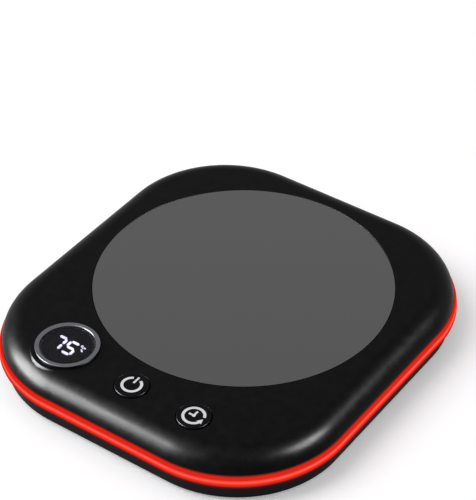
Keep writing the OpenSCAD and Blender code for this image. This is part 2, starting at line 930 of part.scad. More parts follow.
module push_switch(x) {
    color("#303236")
        difference() {
            block(x, button_y, board_top, [switch_w, switch_w, switch_h]);
            translate([x, button_y, board_top + switch_floor])
                cylinder(r = plunger_r + fit, h = switch_h);
        }
}

module switch_plunger(x) {
    color("#55585e")
        translate([x, button_y, plunger_z])
            cylinder(r = plunger_r, h = plunger_top - plunger_z);
}

module power_switch() {
    push_switch(0);
}

module power_switch_plunger() {
    switch_plunger(0);
}

module timer_switch() {
    push_switch(button_pitch);
}

module timer_switch_plunger() {
    switch_plunger(button_pitch);
}

// ---- Display ----

module display_bezel() {
    color("#b4b6ba")
        translate([-display_x, display_y, 0])
            rotate_extrude()
                polygon([[sleeve_in_r, sleeve_z], [sleeve_out_r, sleeve_z], [sleeve_out_r, body_h],
                    [display_r, body_h], [display_r, bezel_top - bezel_bevel],
                    [display_r - bezel_bevel, bezel_top], [lens_hole_r + bezel_bevel, bezel_top],
                    [lens_hole_r, bezel_top - bezel_bevel], [lens_hole_r, lens_z],
                    [sleeve_in_r, lens_z]]);
}

module display_lens() {
    color("#101114")
        translate([-display_x, display_y, lens_z])
            cylinder(r = lens_r, h = lens_t);
}

module display_module() {
    color("#15161a")
        block(-display_x, display_y, board_top,
            [module_size.x, module_size.y, digits_z - board_top]);
}

// One bar of a digit, from point to point
module segment(from, to, line) {
    run = to - from;
    length = norm(run) - line * 0.25;
    translate((from + to) / 2)
        rotate([0, 0, atan2(run.y, run.x)])
            polygon([[-length / 2, 0], [(line - length) / 2, line / 2], [(length - line) / 2, line / 2],
                [length / 2, 0], [(length - line) / 2, -line / 2], [(line - length) / 2, -line / 2]]);
}

// A digit of seven bars, of which those in lit are drawn, from its lower left corner
module digit(lit, width, height, line) {
    left = line / 2;
    right = width - line / 2;
    low = line / 2;
    mid = height / 2;
    high = height - line / 2;
    bars = [
        ["top", [left, high], [right, high]],
        ["upper_right", [right, mid], [right, high]],
        ["lower_right", [right, low], [right, mid]],
        ["bottom", [left, low], [right, low]],
        ["lower_left", [left, low], [left, mid]],
        ["upper_left", [left, mid], [left, high]],
        ["middle", [left, mid], [right, mid]],
    ];
    for (bar = bars)
        for (name = lit)
            if (name == bar[0])
                segment(bar[1], bar[2], line);
}

module display_digits() {
    unit_x = 2 * digit_w + digit_gap + unit_gap;
    color("#e8e6ff")
        translate([-display_x - digits_w / 2, display_y - digit_h / 2, digits_z])
            linear_extrude(height = digit_t) {
                digit(["top", "upper_right", "lower_right"], digit_w, digit_h, digit_line);
                translate([digit_w + digit_gap, 0])
                    digit(["top", "upper_left", "middle", "lower_right", "bottom"],
                        digit_w, digit_h, digit_line);
                translate([unit_x, digit_h - unit_h - degree_r])
                    digit(["top", "upper_left", "lower_left", "bottom"], unit_w, unit_h, unit_line);
                translate([unit_x - degree_r, digit_h - degree_r])
                    difference() {
                        circle(r = degree_r);
                        circle(r = degree_r / 2);
                    }
            }
}

// ---- Control board ----

module control_board() {
    color("#1f5a3c")
        difference() {
            intersection() {
                translate([board_left, board_y, board_z])
                    cube([board_right - board_left, board_d, board_t]);
                plan_slab(rib_inset + rib_t + air, board_z - lap, board_top + lap);
            }
            at_corners()
                translate([0, 0, board_z - lap])
                    cylinder(r = post_r + post_wall + air, h = board_t + 2 * lap);
            for (at = board_screws_at)
                translate([at.x, at.y, board_z - lap])
                    cylinder(r = small_screw_r + fit, h = board_t + 2 * lap);
        }
}

module board_screws() {
    color("#9a9ca0")
        for (at = board_screws_at)
            translate([at.x, at.y, 0])
                screw_down(small_screw_r, small_screw_l, small_head_r, small_head_h, board_top);
}

module control_chip() {
    color("#141518")
        block(chip_x, button_y, board_top, chip_size);
}

module heater_transistor() {
    color("#17181b")
        block(button_pitch, rear_row - transistor_size.y / 2, board_top, transistor_size);
}

module filter_capacitor() {
    color("#39404c")
        translate([button_pitch + capacitor_side, rear_row - capacitor_r, board_top])
            cylinder(r = capacitor_r, h = capacitor_h);
}

// A plug housing on the board, open where its leads go in
module plug_housing(x, y, size, open_side) {
    color("#ddd9c9")
        difference() {
            block(x, y, board_top, size);
            block(x, y + open_side * plug_wall, board_top + plug_wall,
                [size.x - 2 * plug_wall, size.y, size.z - 2 * plug_wall]);
        }
}

module heater_connector() {
    plug_housing(heater_plug_x, rear_row - heater_plug_size.y / 2, heater_plug_size, 1);
}

module sensor_connector() {
    plug_housing(sensor_plug_x, rear_row - sensor_plug_size.y / 2, sensor_plug_size, 1);
}

module light_connector() {
    plug_housing(light_plug_x, light_plug_y, light_plug_size, -1);
}

// ---- Light strip ----

module led_strip() {
    color("#e9e4d2")
        difference() {
            around_plan()
                translate([rib_inset - strip_t, strip_z])
                    square([strip_t, strip_w]);
            block(0, body_d / 2 - rib_inset, strip_z - lap, [lap, lap * 4, strip_w + 2 * lap]);
        }
}

// One light, with its back on the strip at the origin and its face towards +X
module strip_light() {
    translate([0, -led_size.x / 2, led_z])
        cube([led_size.y, led_size.x, led_size.z]);
}

module strip_leds() {
    back = rib_inset - strip_t;
    color("#f4efc9")
        for (sx = [0, 1])
            for (sy = [0, 1])
                mirror([sx, 0, 0])
                    mirror([0, sy, 0]) {
                        for (k = [0 : corner_leds - 1])
                            translate([corner_x, corner_y, 0])
                                rotate([0, 0, 90 * (k + 0.5) / corner_leds])
                                    translate([corner_r - back, 0, 0])
                                        strip_light();
                        for (k = [0 : run_leds / 2 - 1])
                            translate([body_w / 2 - back, 2 * corner_y * (k + 0.5) / run_leds, 0])
                                strip_light();
                        for (k = [0 : run_leds / 2 - 1])
                            translate([2 * corner_x * (k + 0.5) / run_leds, body_d / 2 - back, 0])
                                rotate([0, 0, 90])
                                    strip_light();
                    }
}

// ---- Power inlet ----

module inlet_shell() {
    color("#c2c5c9")
        difference() {
            union() {
                inlet_prism(0, inlet_back, inlet_face);
                for (side = [-1, 1])
                    block(side * (inlet_w + wing_w) / 2, inlet_board_rear - 3, inlet_board_top,
                        [wing_w + inlet_sheet, 2, inlet_sheet]);
            }
            inlet_prism(-inlet_sheet, inlet_back + inlet_sheet, inlet_face + lap);
        }
}

module inlet_tongue() {
    base_w = inlet_w - inlet_h - 2 * fit;
    base_h = inlet_h - 2 * inlet_sheet - 2 * fit;
    from = inlet_back + inlet_sheet;
    color("#1a1a1c") {
        block(0, from + tongue_base / 2, inlet_z - base_h / 2, [base_w, tongue_base, base_h]);
        block(0, (from + inlet_face - 1) / 2, inlet_z - tongue_t / 2,
            [tongue_w, inlet_face - 1 - from, tongue_t]);
    }
}

module inlet_board() {
    color("#1f5a3c")
        difference() {
            block(0, (inlet_board_front + inlet_board_rear) / 2, inlet_board_z,
                [inlet_board_size.x, inlet_board_size.y, inlet_board_t]);
            block(0, (inlet_back + inlet_board_rear) / 2 + lap / 2, inlet_board_z - lap,
                [inlet_w + 2 * fit, inlet_board_rear - inlet_back + lap + 2 * fit, inlet_board_t + 2 * lap]);
            for (side = [-1, 1])
                translate([side * inlet_screw_x, inlet_screw_y, inlet_board_z - lap])
                    cylinder(r = small_screw_r + fit, h = inlet_board_t + 2 * lap);
        }
}

module inlet_board_screws() {
    color("#9a9ca0")
        for (side = [-1, 1])
            translate([side * inlet_screw_x, inlet_screw_y, 0])
                screw_down(small_screw_r, small_screw_l, small_head_r, small_head_h, inlet_board_top);
}

// ---- Leads ----

module inlet_leads() {
    colours = ["#b3261e", "#1b1b1d"];
    for (k = [0, 1])
        color(colours[k])
            translate([(k - 0.5) * lead_pitch, 0, 0])
                lead([[0, inlet_board_front + lead_end, inlet_board_top + lead_r],
                    [0, inlet_board_front - lead_end, inlet_board_top + lead_r],
                    [0, inlet_board_front - 1.5 * lead_bend, lead_run_z + lead_r / 2],
                    [0, inlet_board_front - 2.5 * lead_bend, lead_run_z],
                    [0, plate_y, lead_run_z],
                    [0, board_rear + 3 * lead_bend, lead_run_z],
                    [0, board_rear + 2 * lead_bend, lead_run_z + lead_r],
                    [0, board_rear + lead_end, board_top + 2 * lead_r],
                    [0, board_rear - lead_end, board_top + lead_r + fit / 2]]);
}

module heater_leads() {
    plug_mouth = rear_row - heater_plug_size.y / 2;
    plug_z = board_top + heater_plug_size.z / 2;
    under_element = element_z - lead_r;
    color("#d8d8d4") {
        lead([[heater_plug_x - plug_pin_x, plug_mouth, plug_z],
            [heater_plug_x - plug_pin_x, rear_row + lead_straight, plug_z - 0.7 * lead_r],
            [heater_plug_x - plug_pin_x / 2, lead_hole_y - 1.5 * lead_straight, bracket_z - 3 * lead_r],
            [heater_plug_x - fit, lead_hole_y - lead_straight / 2, bracket_z - lead_r],
            [heater_plug_x - fit, lead_hole_y + 0.7 * lead_r, pad_z + 0.7 * lead_r],
            [heater_plug_x - fit, lead_hole_y + 0.7 * lead_straight, under_element]]);
        lead([[fuse_x, plug_mouth, plug_z],
            [fuse_x, rear_row + lead_straight, plug_z - lead_r],
            [fuse_x, fuse_y - 2 * lead_straight, fuse_z],
            [fuse_x, fuse_y - fit, fuse_z]]);
        lead([[fuse_x, fuse_y + fuse_l + fit, fuse_z],
            [fuse_x, fuse_y + fuse_l + 0.7 * lead_straight, fuse_z],
            [fuse_x, fuse_hole_y - 1.4 * lead_straight, fuse_z + lead_r],
            [fuse_x, fuse_hole_y - lead_straight / 4, pad_z],
            [fuse_x, fuse_hole_y + lead_straight / 2, under_element]]);
    }
}

module sensor_leads() {
    plug_mouth = rear_row - sensor_plug_size.y / 2;
    plug_z = board_top + sensor_plug_size.z / 2;
    thin_r = lead_r * 0.7;
    color("#e0dccb")
        for (side = [-1, 1])
            translate([sensor_plug_x + side * thin_r * 1.4, 0, 0])
                lead([[0, plug_mouth, plug_z],
                    [0, rear_row + lead_straight, plug_z - lead_r / 2],
                    [0, thermistor_y - 3 * lead_straight, bracket_z - 2 * lead_r],
                    [0, thermistor_y - lead_straight, bracket_z - lead_r],
                    [0, thermistor_y, element_z - thermistor_t - thin_r]], thin_r);
}

module light_leads() {
    strip_back = front_y + rib_inset;
    plug_z = board_top + light_plug_size.z / 2;
    color("#e0dccb")
        for (side = [-1, 1])
            translate([light_plug_x + side * lead_pitch / 2, 0, 0])
                lead([[0, light_plug_y, plug_z],
                    [0, light_plug_y - light_plug_size.y / 2 - lead_r, plug_z],
                    [0, strip_back + rib_t, band_z + band_h / 2],
                    [0, strip_back + fit, band_z + band_h / 2]], lead_r * 0.7);
}

top_cover();
bottom_cover();
light_band();
foot_front_left();
foot_front_right();
foot_rear_left();
foot_rear_right();
housing_screws();
glass_plate();
plate_gasket();
heat_spreader();
heating_element();
insulation_pad();
heater_bracket();
bracket_screws();
thermistor();
thermal_fuse();
fuse_clip();
control_board();
board_screws();
display_bezel();
display_lens();
display_module();
display_digits();
power_button();
power_symbol();
power_switch();
power_switch_plunger();
timer_button();
timer_symbol();
timer_switch();
timer_switch_plunger();
control_chip();
heater_transistor();
filter_capacitor();
heater_connector();
sensor_connector();
light_connector();
led_strip();
strip_leds();
inlet_shell();
inlet_tongue();
inlet_board();
inlet_board_screws();
inlet_leads();
heater_leads();
sensor_leads();
light_leads();
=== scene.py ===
# %% [markdown]
# # An electric mug warmer, finished in Blender
# The construction is already solved: every cover, screw, lead and button comes in as one packed
# model at its real size. This lesson gives that model its looks. Shells get smooth rounded edges,
# each material gets its grain, and a small studio is set up round it. Nothing is moved or resized,
# so every new piece takes its measures from the model it dresses.

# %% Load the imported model
import json
from math import asin, atan, atan2, cos, degrees, pi, radians, sin, tan
import bmesh
import bpy
from mathutils import Matrix, Vector


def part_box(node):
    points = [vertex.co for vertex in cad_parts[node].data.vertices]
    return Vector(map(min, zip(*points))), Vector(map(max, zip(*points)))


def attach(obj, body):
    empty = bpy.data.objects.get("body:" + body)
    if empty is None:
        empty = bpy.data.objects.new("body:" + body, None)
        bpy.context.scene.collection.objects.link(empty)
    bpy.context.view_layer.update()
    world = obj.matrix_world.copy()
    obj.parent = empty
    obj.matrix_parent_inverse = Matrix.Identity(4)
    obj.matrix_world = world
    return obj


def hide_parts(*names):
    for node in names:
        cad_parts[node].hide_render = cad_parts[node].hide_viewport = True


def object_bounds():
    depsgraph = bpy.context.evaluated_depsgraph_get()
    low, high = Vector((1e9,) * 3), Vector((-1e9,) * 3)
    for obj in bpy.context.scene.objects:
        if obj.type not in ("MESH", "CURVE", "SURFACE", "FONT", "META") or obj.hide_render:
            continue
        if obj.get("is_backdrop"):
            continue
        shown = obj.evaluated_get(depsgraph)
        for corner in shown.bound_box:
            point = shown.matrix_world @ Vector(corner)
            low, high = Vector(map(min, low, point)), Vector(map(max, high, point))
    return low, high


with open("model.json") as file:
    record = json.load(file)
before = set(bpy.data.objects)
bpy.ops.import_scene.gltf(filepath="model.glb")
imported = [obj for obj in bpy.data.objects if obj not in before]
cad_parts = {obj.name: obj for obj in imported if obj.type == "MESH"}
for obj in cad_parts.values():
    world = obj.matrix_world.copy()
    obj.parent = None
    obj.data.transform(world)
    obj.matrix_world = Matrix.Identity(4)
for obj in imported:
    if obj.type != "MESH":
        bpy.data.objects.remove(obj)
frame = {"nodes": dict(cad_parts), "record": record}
cad_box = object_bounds()
MM = 0.001
print("pieces in the packed model:", len(frame["nodes"]))

# %% [markdown]
# ## The camera first
# Looks can only be judged from a fixed place, so the camera comes before any finish. Its place is
# given in millimetres from the point on the table under the base. Its direction is two angles and
# a very small roll. The long lens keeps the rounded corners from looking stretched.

# %% Camera
camera_place = Vector((305.0, -426.2, 469.3))
camera_azimuth = 0.6163
camera_tilt = 0.6878
camera_roll = -0.0017
camera_lens = 146.45

back = Vector((sin(camera_azimuth) * cos(camera_tilt),
               -cos(camera_azimuth) * cos(camera_tilt), sin(camera_tilt)))
right = Vector((cos(camera_azimuth), sin(camera_azimuth), 0))
up = back.cross(right)
facing = Matrix((right, up, back)).transposed() @ Matrix.Rotation(camera_roll, 3, "Z")

camera_data = bpy.data.cameras.new("camera")
camera_data.lens = camera_lens
camera_data.clip_start = 0.01
camera = bpy.data.objects.new("camera", camera_data)
camera.matrix_world = Matrix.Translation(camera_place * MM) @ facing.to_4x4()
bpy.context.scene.collection.objects.link(camera)
bpy.context.scene.camera = camera
print("camera stands", round(camera_place.length), "mm from the middle of the base")

# %% [markdown]
# ## Measures read from the model
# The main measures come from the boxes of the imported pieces, so this script follows the model. A
# box gives a lowest and a highest corner in metres, and all lengths here are in millimetres, as on
# a drawing. Only the small radii that a box can't show are typed in.

# %% Measures


def box_mm(node):
    """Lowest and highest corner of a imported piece, in millimetres."""
    low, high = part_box(node)
    return low / MM, high / MM


def middle(node):
    """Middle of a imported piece, seen from above."""
    low, high = box_mm(node)
    return (low + high) / 2


band_low, band_high = box_mm("light_band")
width = band_high.x - band_low.x
depth = band_high.y - band_low.y
seat_low = band_low.z
seat_high = band_high.z
plate_low, plate_high = box_mm("glass_plate")
plate_at = middle("glass_plate")
plate_r = (plate_high.x - plate_low.x) / 2
top_z = plate_high.z
base_z = box_mm("bottom_cover")[0].z
print("base:", round(width, 1), "x", round(depth, 1), "mm, top at", round(top_z, 2))

# Radii and walls that the boxes don't show
corner_r = 41
edge_r = 8
wall = 2
band_lean = 1.2
floor_z = base_z + wall
rim_lap = 0.6
band_z = seat_low + rim_lap
band_top = seat_high - rim_lap
ceiling_z = top_z - wall

# %% [markdown]
# ## Bringing pieces into the scene
# Every new piece is a mesh whose place is in its points, with its object left at the origin. Then
# a pattern that reads object coordinates stays where it is, and the piece can ride on a part of
# the model. These helpers make such objects and give them their finish.

# %% Helpers for objects
crease_angle = 32
# Finishes by name. The finish that belongs in a slot has the slot's name.
finishes = {}


def add_object(name, mesh):
    """Link a mesh to the scene as an object at the origin."""
    piece = bpy.data.objects.new(name, mesh)
    bpy.context.scene.collection.objects.link(piece)
    return piece


def from_bmesh(name, shape):
    """Turn a bmesh in millimetres into an object in metres, with its faces outwards."""
    bmesh.ops.remove_doubles(shape, verts=shape.verts, dist=1e-4)
    bmesh.ops.recalc_face_normals(shape, faces=shape.faces)
    bmesh.ops.scale(shape, vec=(MM, MM, MM), verts=shape.verts)
    mesh = bpy.data.meshes.new(name)
    shape.to_mesh(mesh)
    shape.free()
    return add_object(name, mesh)


def apply_modifiers(piece):
    """Replace an object's mesh with its modified one."""
    graph = bpy.context.evaluated_depsgraph_get()
    mesh = bpy.data.meshes.new_from_object(piece.evaluated_get(graph))
    piece.modifiers.clear()
    piece.data = mesh
    mesh.name = piece.name


def combine(piece, other, operation):
    """Unite a piece with another closed mesh, or cut that mesh out of it. It stays closed."""
    modifier = piece.modifiers.new("boolean", "BOOLEAN")
    modifier.operation = operation
    modifier.solver = "MANIFOLD"
    modifier.object = other
    apply_modifiers(piece)
    bpy.data.objects.remove(other)


def smooth(piece, angle=crease_angle):
    """Smooth shading with crisp edges above an angle, weighted towards the large flat faces."""
    piece.data.shade_smooth()
    piece.data.set_sharp_from_angle(angle=radians(angle))
    modifier = piece.modifiers.new("weighted normals", "WEIGHTED_NORMAL")
    modifier.keep_sharp = True
    modifier.weight = 100
    apply_modifiers(piece)


def dress(piece, slot, body="housing", replaces=(), finish=None):
    """Give a piece the finish of its slot, and let it ride on a body of the model."""
    piece.data.materials.clear()
    piece.data.materials.append(finishes[finish or slot])
    if replaces:
        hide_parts(*replaces)
    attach(piece, body)
    print(piece.name, "has", len(piece.data.polygons), "faces")


# %% [markdown]
# ## Sections with rounded corners
# Turned and swept parts both start from a flat section. Real moulded and machined edges are never
# razor sharp: they carry a small radius, and it is this radius that catches the light. The helper
# below takes corners with a radius each, and puts an arc into every one.

# %% Rounded sections


def rounded(corners, steps=5):
    """A closed section. Each corner is (x, y, radius), and the radius becomes an arc."""
    points = []
    for at, (x, y, radius) in enumerate(corners):
        here = Vector((x, y))
        if radius == 0:
            points.append(here)
            continue
        to_before = (Vector(corners[at - 1][:2]) - here).normalized()
        to_after = (Vector(corners[(at + 1) % len(corners)][:2]) - here).normalized()
        half = to_before.angle(to_after) / 2
        centre = here + (to_before + to_after).normalized() * radius / sin(half)
        start = here + to_before * radius / tan(half) - centre
        end = here + to_after * radius / tan(half) - centre
        turn = atan2(start.x * end.y - start.y * end.x, start.dot(end))
        for k in range(steps + 1):
            points.append(centre + Matrix.Rotation(turn * k / steps, 2) @ start)
    return [(p[0], p[1]) for p in points]


def arc_points(centre, radius, start, end, steps):
    """Points on an arc, between two angles in degrees."""
    angles = [radians(start + (end - start) * k / steps) for k in range(steps + 1)]
    return [(centre[0] + radius * cos(a), centre[1] + radius * sin(a)) for a in angles]


# %% [markdown]
# ## Turning a section into a round part
# The plate, the display ring, the caps and the feet are all round, so each is a section turned
# about an upright axis. Blender has a Screw modifier and a Spin tool for this. Written out, it is
# only a ring of points for each corner of the section, which keeps full control over the poles.

# %% Lathe


def lathe(name, section, centre=(0, 0), steps=128):
    """Turn a closed section of (radius, height) about the upright axis through centre."""
    shape = bmesh.new()
    rings = []
    for radius, height in section:
        if radius < 1e-6:
            rings.append([shape.verts.new((centre[0], centre[1], height))] * steps)
            continue
        rings.append([shape.verts.new((centre[0] + radius * cos(2 * pi * k / steps),
                                       centre[1] + radius * sin(2 * pi * k / steps), height))
                      for k in range(steps)])
    for at, ring in enumerate(rings):
        above = rings[(at + 1) % len(rings)]
        for k in range(steps):
            corners = [ring[k], ring[(k + 1) % steps], above[(k + 1) % steps], above[k]]
            face = list(dict.fromkeys(corners))
            if len(face) > 2:
                shape.faces.new(face)
    return from_bmesh(name, shape)


def drum(name, radius, low, high, centre=(0, 0), steps=128):
    """A plain round block between two heights, for cutting and filling."""
    return lathe(name, [(0, low), (radius, low), (radius, high), (0, high)], centre, steps)


# %% [markdown]
# ## Sweeping a section round the base
# Both covers and the light band follow one outline: a rectangle with four large round corners.
# Geometry Nodes suit this well. The tree draws the rectangle, fillets it, and sweeps a section
# along it, so one tree with named inputs serves for every part that runs round the base.

# %% Sweep tree


def new_tree(name, inputs):
    """A geometry node tree with named inputs. Returns the tree and each input's identifier."""
    tree = bpy.data.node_groups.new(name, "GeometryNodeTree")
    sockets = {}
    for label, kind, value in inputs:
        socket = tree.interface.new_socket(label, in_out="INPUT", socket_type=kind)
        if value is not None:
            socket.default_value = value
        sockets[label] = socket.identifier
    tree.interface.new_socket("Geometry", in_out="OUTPUT", socket_type="NodeSocketGeometry")
    return tree, sockets


def bake_tree(name, tree, sockets, **values):
    """Evaluate a tree with these inputs and keep the result as a plain mesh object."""
    carrier = add_object(name, bpy.data.meshes.new(name))
    modifier = carrier.modifiers.new("shape", "NODES")
    modifier.node_group = tree
    for label, value in values.items():
        modifier[sockets[label.replace("_", " ")]] = value
    apply_modifiers(carrier)
    return carrier


def finish_tree(tree, geometry, given):
    """End a tree the way an export needs it: real geometry, with its material set."""
    realize = tree.nodes.new("GeometryNodeRealizeInstances")
    painted = tree.nodes.new("GeometryNodeSetMaterial")
    group_out = tree.nodes.new("NodeGroupOutput")
    tree.links.new(geometry, realize.inputs[0])
    tree.links.new(realize.outputs[0], painted.inputs["Geometry"])
    tree.links.new(given["Material"], painted.inputs["Material"])
    tree.links.new(painted.outputs[0], group_out.inputs[0])


def sweep_tree():
    """A tree that sweeps a section round a rectangle with round corners."""
    tree, sockets = new_tree("sweep round the base", [
        ("Width", "NodeSocketFloat", width * MM),
        ("Depth", "NodeSocketFloat", depth * MM),
        ("Corner radius", "NodeSocketFloat", corner_r * MM),
        ("Corner steps", "NodeSocketInt", 48),
        ("Section", "NodeSocketObject", None),
        ("Material", "NodeSocketMaterial", None),
    ])
    nodes, link = tree.nodes, tree.links.new
    given = nodes.new("NodeGroupInput").outputs
    outline = nodes.new("GeometryNodeCurvePrimitiveQuadrilateral")
    fillet = nodes.new("GeometryNodeFilletCurve")
    fillet.mode = "POLY"
    upright = nodes.new("GeometryNodeSetCurveNormal")
    upright.mode = "Z_UP"
    section = nodes.new("GeometryNodeObjectInfo")
    as_curve = nodes.new("GeometryNodeMeshToCurve")
    sweep = nodes.new("GeometryNodeCurveToMesh")
    link(given["Width"], outline.inputs["Width"])
    link(given["Depth"], outline.inputs["Height"])
    link(outline.outputs[0], fillet.inputs["Curve"])
    link(given["Corner steps"], fillet.inputs["Count"])
    link(given["Corner radius"], fillet.inputs["Radius"])
    link(fillet.outputs[0], upright.inputs["Curve"])
    link(given["Section"], section.inputs["Object"])
    link(section.outputs["Geometry"], as_curve.inputs["Mesh"])
    link(upright.outputs[0], sweep.inputs["Curve"])
    link(as_curve.outputs[0], sweep.inputs["Profile Curve"])
    finish_tree(tree, sweep.outputs[0], given)
    return tree, sockets


sweep, sweep_sockets = sweep_tree()
print("sweep tree has", len(sweep.nodes), "nodes")

# %% [markdown]
# ## Copies in rows
# Screw posts, vents and contacts are the same part again and again at an even step. A second tree
# lays copies out in rows: a line of points along X, a line of points along Y, and the part on
# each of them. The copies stay centred on the part's own place.

# %% Rows tree


def rows_tree():
    """A tree that lays out copies of a part along X and Y."""
    tree, sockets = new_tree("copies in rows", [
        ("Count X", "NodeSocketInt", 1),
        ("Step X", "NodeSocketFloat", 0.0),
        ("Count Y", "NodeSocketInt", 1),
        ("Step Y", "NodeSocketFloat", 0.0),
        ("Part", "NodeSocketObject", None),
        ("Material", "NodeSocketMaterial", None),
    ])
    nodes, link = tree.nodes, tree.links.new
    given = nodes.new("NodeGroupInput").outputs
    part = nodes.new("GeometryNodeObjectInfo")
    link(given["Part"], part.inputs["Object"])
    geometry = part.outputs["Geometry"]
    for axis in "XY":
        line = nodes.new("GeometryNodeMeshLine")
        step = nodes.new("ShaderNodeCombineXYZ")
        start = nodes.new("ShaderNodeVectorMath")
        start.operation = "SCALE"
        half = nodes.new("ShaderNodeMath")
        half.operation = "MULTIPLY_ADD"
        half.inputs[1].default_value = -0.5
        half.inputs[2].default_value = 0.5
        copies = nodes.new("GeometryNodeInstanceOnPoints")
        link(given["Step " + axis], step.inputs[axis])
        link(given["Count " + axis], half.inputs[0])
        link(step.outputs[0], start.inputs[0])
        link(half.outputs[0], start.inputs["Scale"])
        link(given["Count " + axis], line.inputs["Count"])
        link(start.outputs[0], line.inputs["Start Location"])
        link(step.outputs[0], line.inputs["Offset"])
        link(line.outputs[0], copies.inputs["Points"])
        link(geometry, copies.inputs["Instance"])
        geometry = copies.outputs[0]
    finish_tree(tree, geometry, given)
    return tree, sockets


rows, rows_sockets = rows_tree()


def in_rows(part, finish, x=(1, 0.0), y=(1, 0.0)):
    """Copies of a part, given as a count and a step in millimetres along X and along Y."""
    name = part.name
    part.name = name + "_pattern"
    made = bake_tree(name, rows, rows_sockets, Part=part, Material=finishes[finish],
                     Count_X=x[0], Step_X=x[1] * MM, Count_Y=y[0], Step_Y=y[1] * MM)
    bpy.data.objects.remove(part)
    return made


print("rows tree has", len(rows.nodes), "nodes")

# %% [markdown]
# ## Finishes
# A finish is more than a colour. Moulded plastic has a fine spark-eroded grain, turned metal has
# rings, and rubber is dull and slightly mottled. Each helper below builds one kind of finish from
# procedural nodes on object coordinates. Values that are the same all over the surface are set on
# the shader's own sockets, and only what varies comes from nodes.

# %% Material helpers
# Nearly all values of a noise texture lie between these two
noise_low, noise_high = 0.3, 0.7
# A wave texture runs through this many radians per unit
wave_phase = 20


def srgb(red, green, blue):
    """A colour as a screen shows it, 0 to 255, turned into the linear values of a shader."""
    shades = [c / 255 for c in (red, green, blue)]
    return [c / 12.92 if c < 0.04045 else ((c + 0.055) / 1.055) ** 2.4 for c in shades] + [1.0]


class Finish:
    """A material with a Principled shader and the nodes that vary it."""

    def __init__(self, name, colour, roughness, **values):
        material = finishes[name] = bpy.data.materials.new(name)
        material.use_nodes = True
        self.tree = material.node_tree
        self.shader = self.tree.nodes["Principled BSDF"]
        self.colour = srgb(*colour)
        self.roughness = roughness
        self.shader.inputs["Base Color"].default_value = self.colour
        self.shader.inputs["Roughness"].default_value = roughness
        for label, value in values.items():
            self.shader.inputs[label.replace("_", " ")].default_value = value
        self.place = self.add("ShaderNodeTexCoord").outputs["Object"]

    def add(self, kind, **values):
        """Add a node and set these inputs."""
        node = self.tree.nodes.new(kind)
        for label, value in values.items():
            node.inputs[label.replace("_", " ")].default_value = value
        return node

    def link(self, start, end):
        self.tree.links.new(start, end)

    def noise(self, size, detail=3, stretch=None):
        """Noise whose blotches are about size millimetres across."""
        place = self.place
        if stretch:
            mapping = self.add("ShaderNodeMapping", Scale=stretch)
            self.link(place, mapping.inputs["Vector"])
            place = mapping.outputs[0]
        texture = self.add("ShaderNodeTexNoise", Scale=1 / (size * MM), Detail=detail)
        self.link(place, texture.inputs["Vector"])
        return texture.outputs["Fac"]

    def rings(self, centre, pitch, distortion):
        """Rings about an upright axis through centre. A larger pitch sets them further apart."""
        mapping = self.add("ShaderNodeMapping", Location=(-centre[0] * MM, -centre[1] * MM, 0))
        self.link(self.place, mapping.inputs["Vector"])
        texture = self.add("ShaderNodeTexWave", Scale=1 / (wave_phase * pitch * MM),
                           Distortion=distortion)
        texture.wave_type = "RINGS"
        texture.rings_direction = "Z"
        self.link(mapping.outputs[0], texture.inputs["Vector"])
        return texture.outputs["Fac"]

    def ramp(self, factor, stops):
        """Colours that follow a factor. Each stop is (factor, colour)."""
        ramp = self.add("ShaderNodeValToRGB")
        elements = ramp.color_ramp.elements
        while len(elements) < len(stops):
            elements.new(0.5)
        for element, (place, shade) in zip(elements, stops):
            element.position = place
            element.color = shade
        self.link(factor, ramp.inputs[0])
        return ramp.outputs[0]

    def vary_colour(self, factor, spread):
        """Let the colour run from darker to lighter by a share of itself."""
        darker = [c * (1 - spread) for c in self.colour[:3]] + [1]
        lighter = [min(1, c * (1 + spread)) for c in self.colour[:3]] + [1]
        shades = self.ramp(factor, ((noise_low, darker), (noise_high, lighter)))
        self.link(shades, self.shader.inputs["Base Color"])

    def vary_roughness(self, factor, spread):
        """Let the roughness run spread below and above its value."""
        span = self.add("ShaderNodeMapRange", From_Min=noise_low, From_Max=noise_high,
                        To_Min=max(0, self.roughness - spread), To_Max=self.roughness + spread)
        self.link(factor, span.inputs["Value"])
        self.link(span.outputs[0], self.shader.inputs["Roughness"])

    def relief(self, factor, depth):
        """Raise the surface by up to depth millimetres."""
        bump = self.add("ShaderNodeBump", Strength=1.0, Distance=depth * MM)
        self.link(factor, bump.inputs["Height"])
        self.link(bump.outputs[0], self.shader.inputs["Normal"])


def moulded(name, colour, roughness, grain=0.25, depth=0.01, **values):
    """Moulded plastic or rubber: a fine even grain, and slow changes in sheen."""
    finish = Finish(name, colour, roughness, **values)
    fine = finish.noise(grain, detail=4)
    finish.vary_colour(finish.noise(6), 0.08)
    finish.vary_roughness(finish.noise(3), 0.04)
    finish.relief(fine, depth)


def turned(name, colour, roughness, centre, pitch=0.35):
    """Metal turned on a lathe: fine rings about an upright axis through centre."""
    finish = Finish(name, colour, roughness, Metallic=1.0)
    finish.vary_colour(finish.noise(1.5), 0.04)
    finish.vary_roughness(finish.noise(0.4), 0.05)
    finish.relief(finish.rings(centre, pitch, 0.4), 0.002)


def brushed(name, colour, roughness, stretch=(0.05, 1, 1)):
    """Rolled or brushed sheet metal: fine streaks along one direction."""
    finish = Finish(name, colour, roughness, Metallic=1.0)
    streaks = finish.noise(0.15, detail=2, stretch=stretch)
    finish.vary_colour(streaks, 0.06)
    finish.vary_roughness(streaks, 0.08)
    finish.relief(streaks, 0.003)


# %% [markdown]
# ### The black plastics
# The upper cover is satin black and hardly reflects, so that the lit band and the display stand
# out. The caps are the same plastic, a little smoother. The lower casing comes later, with the
# band whose light falls on it.

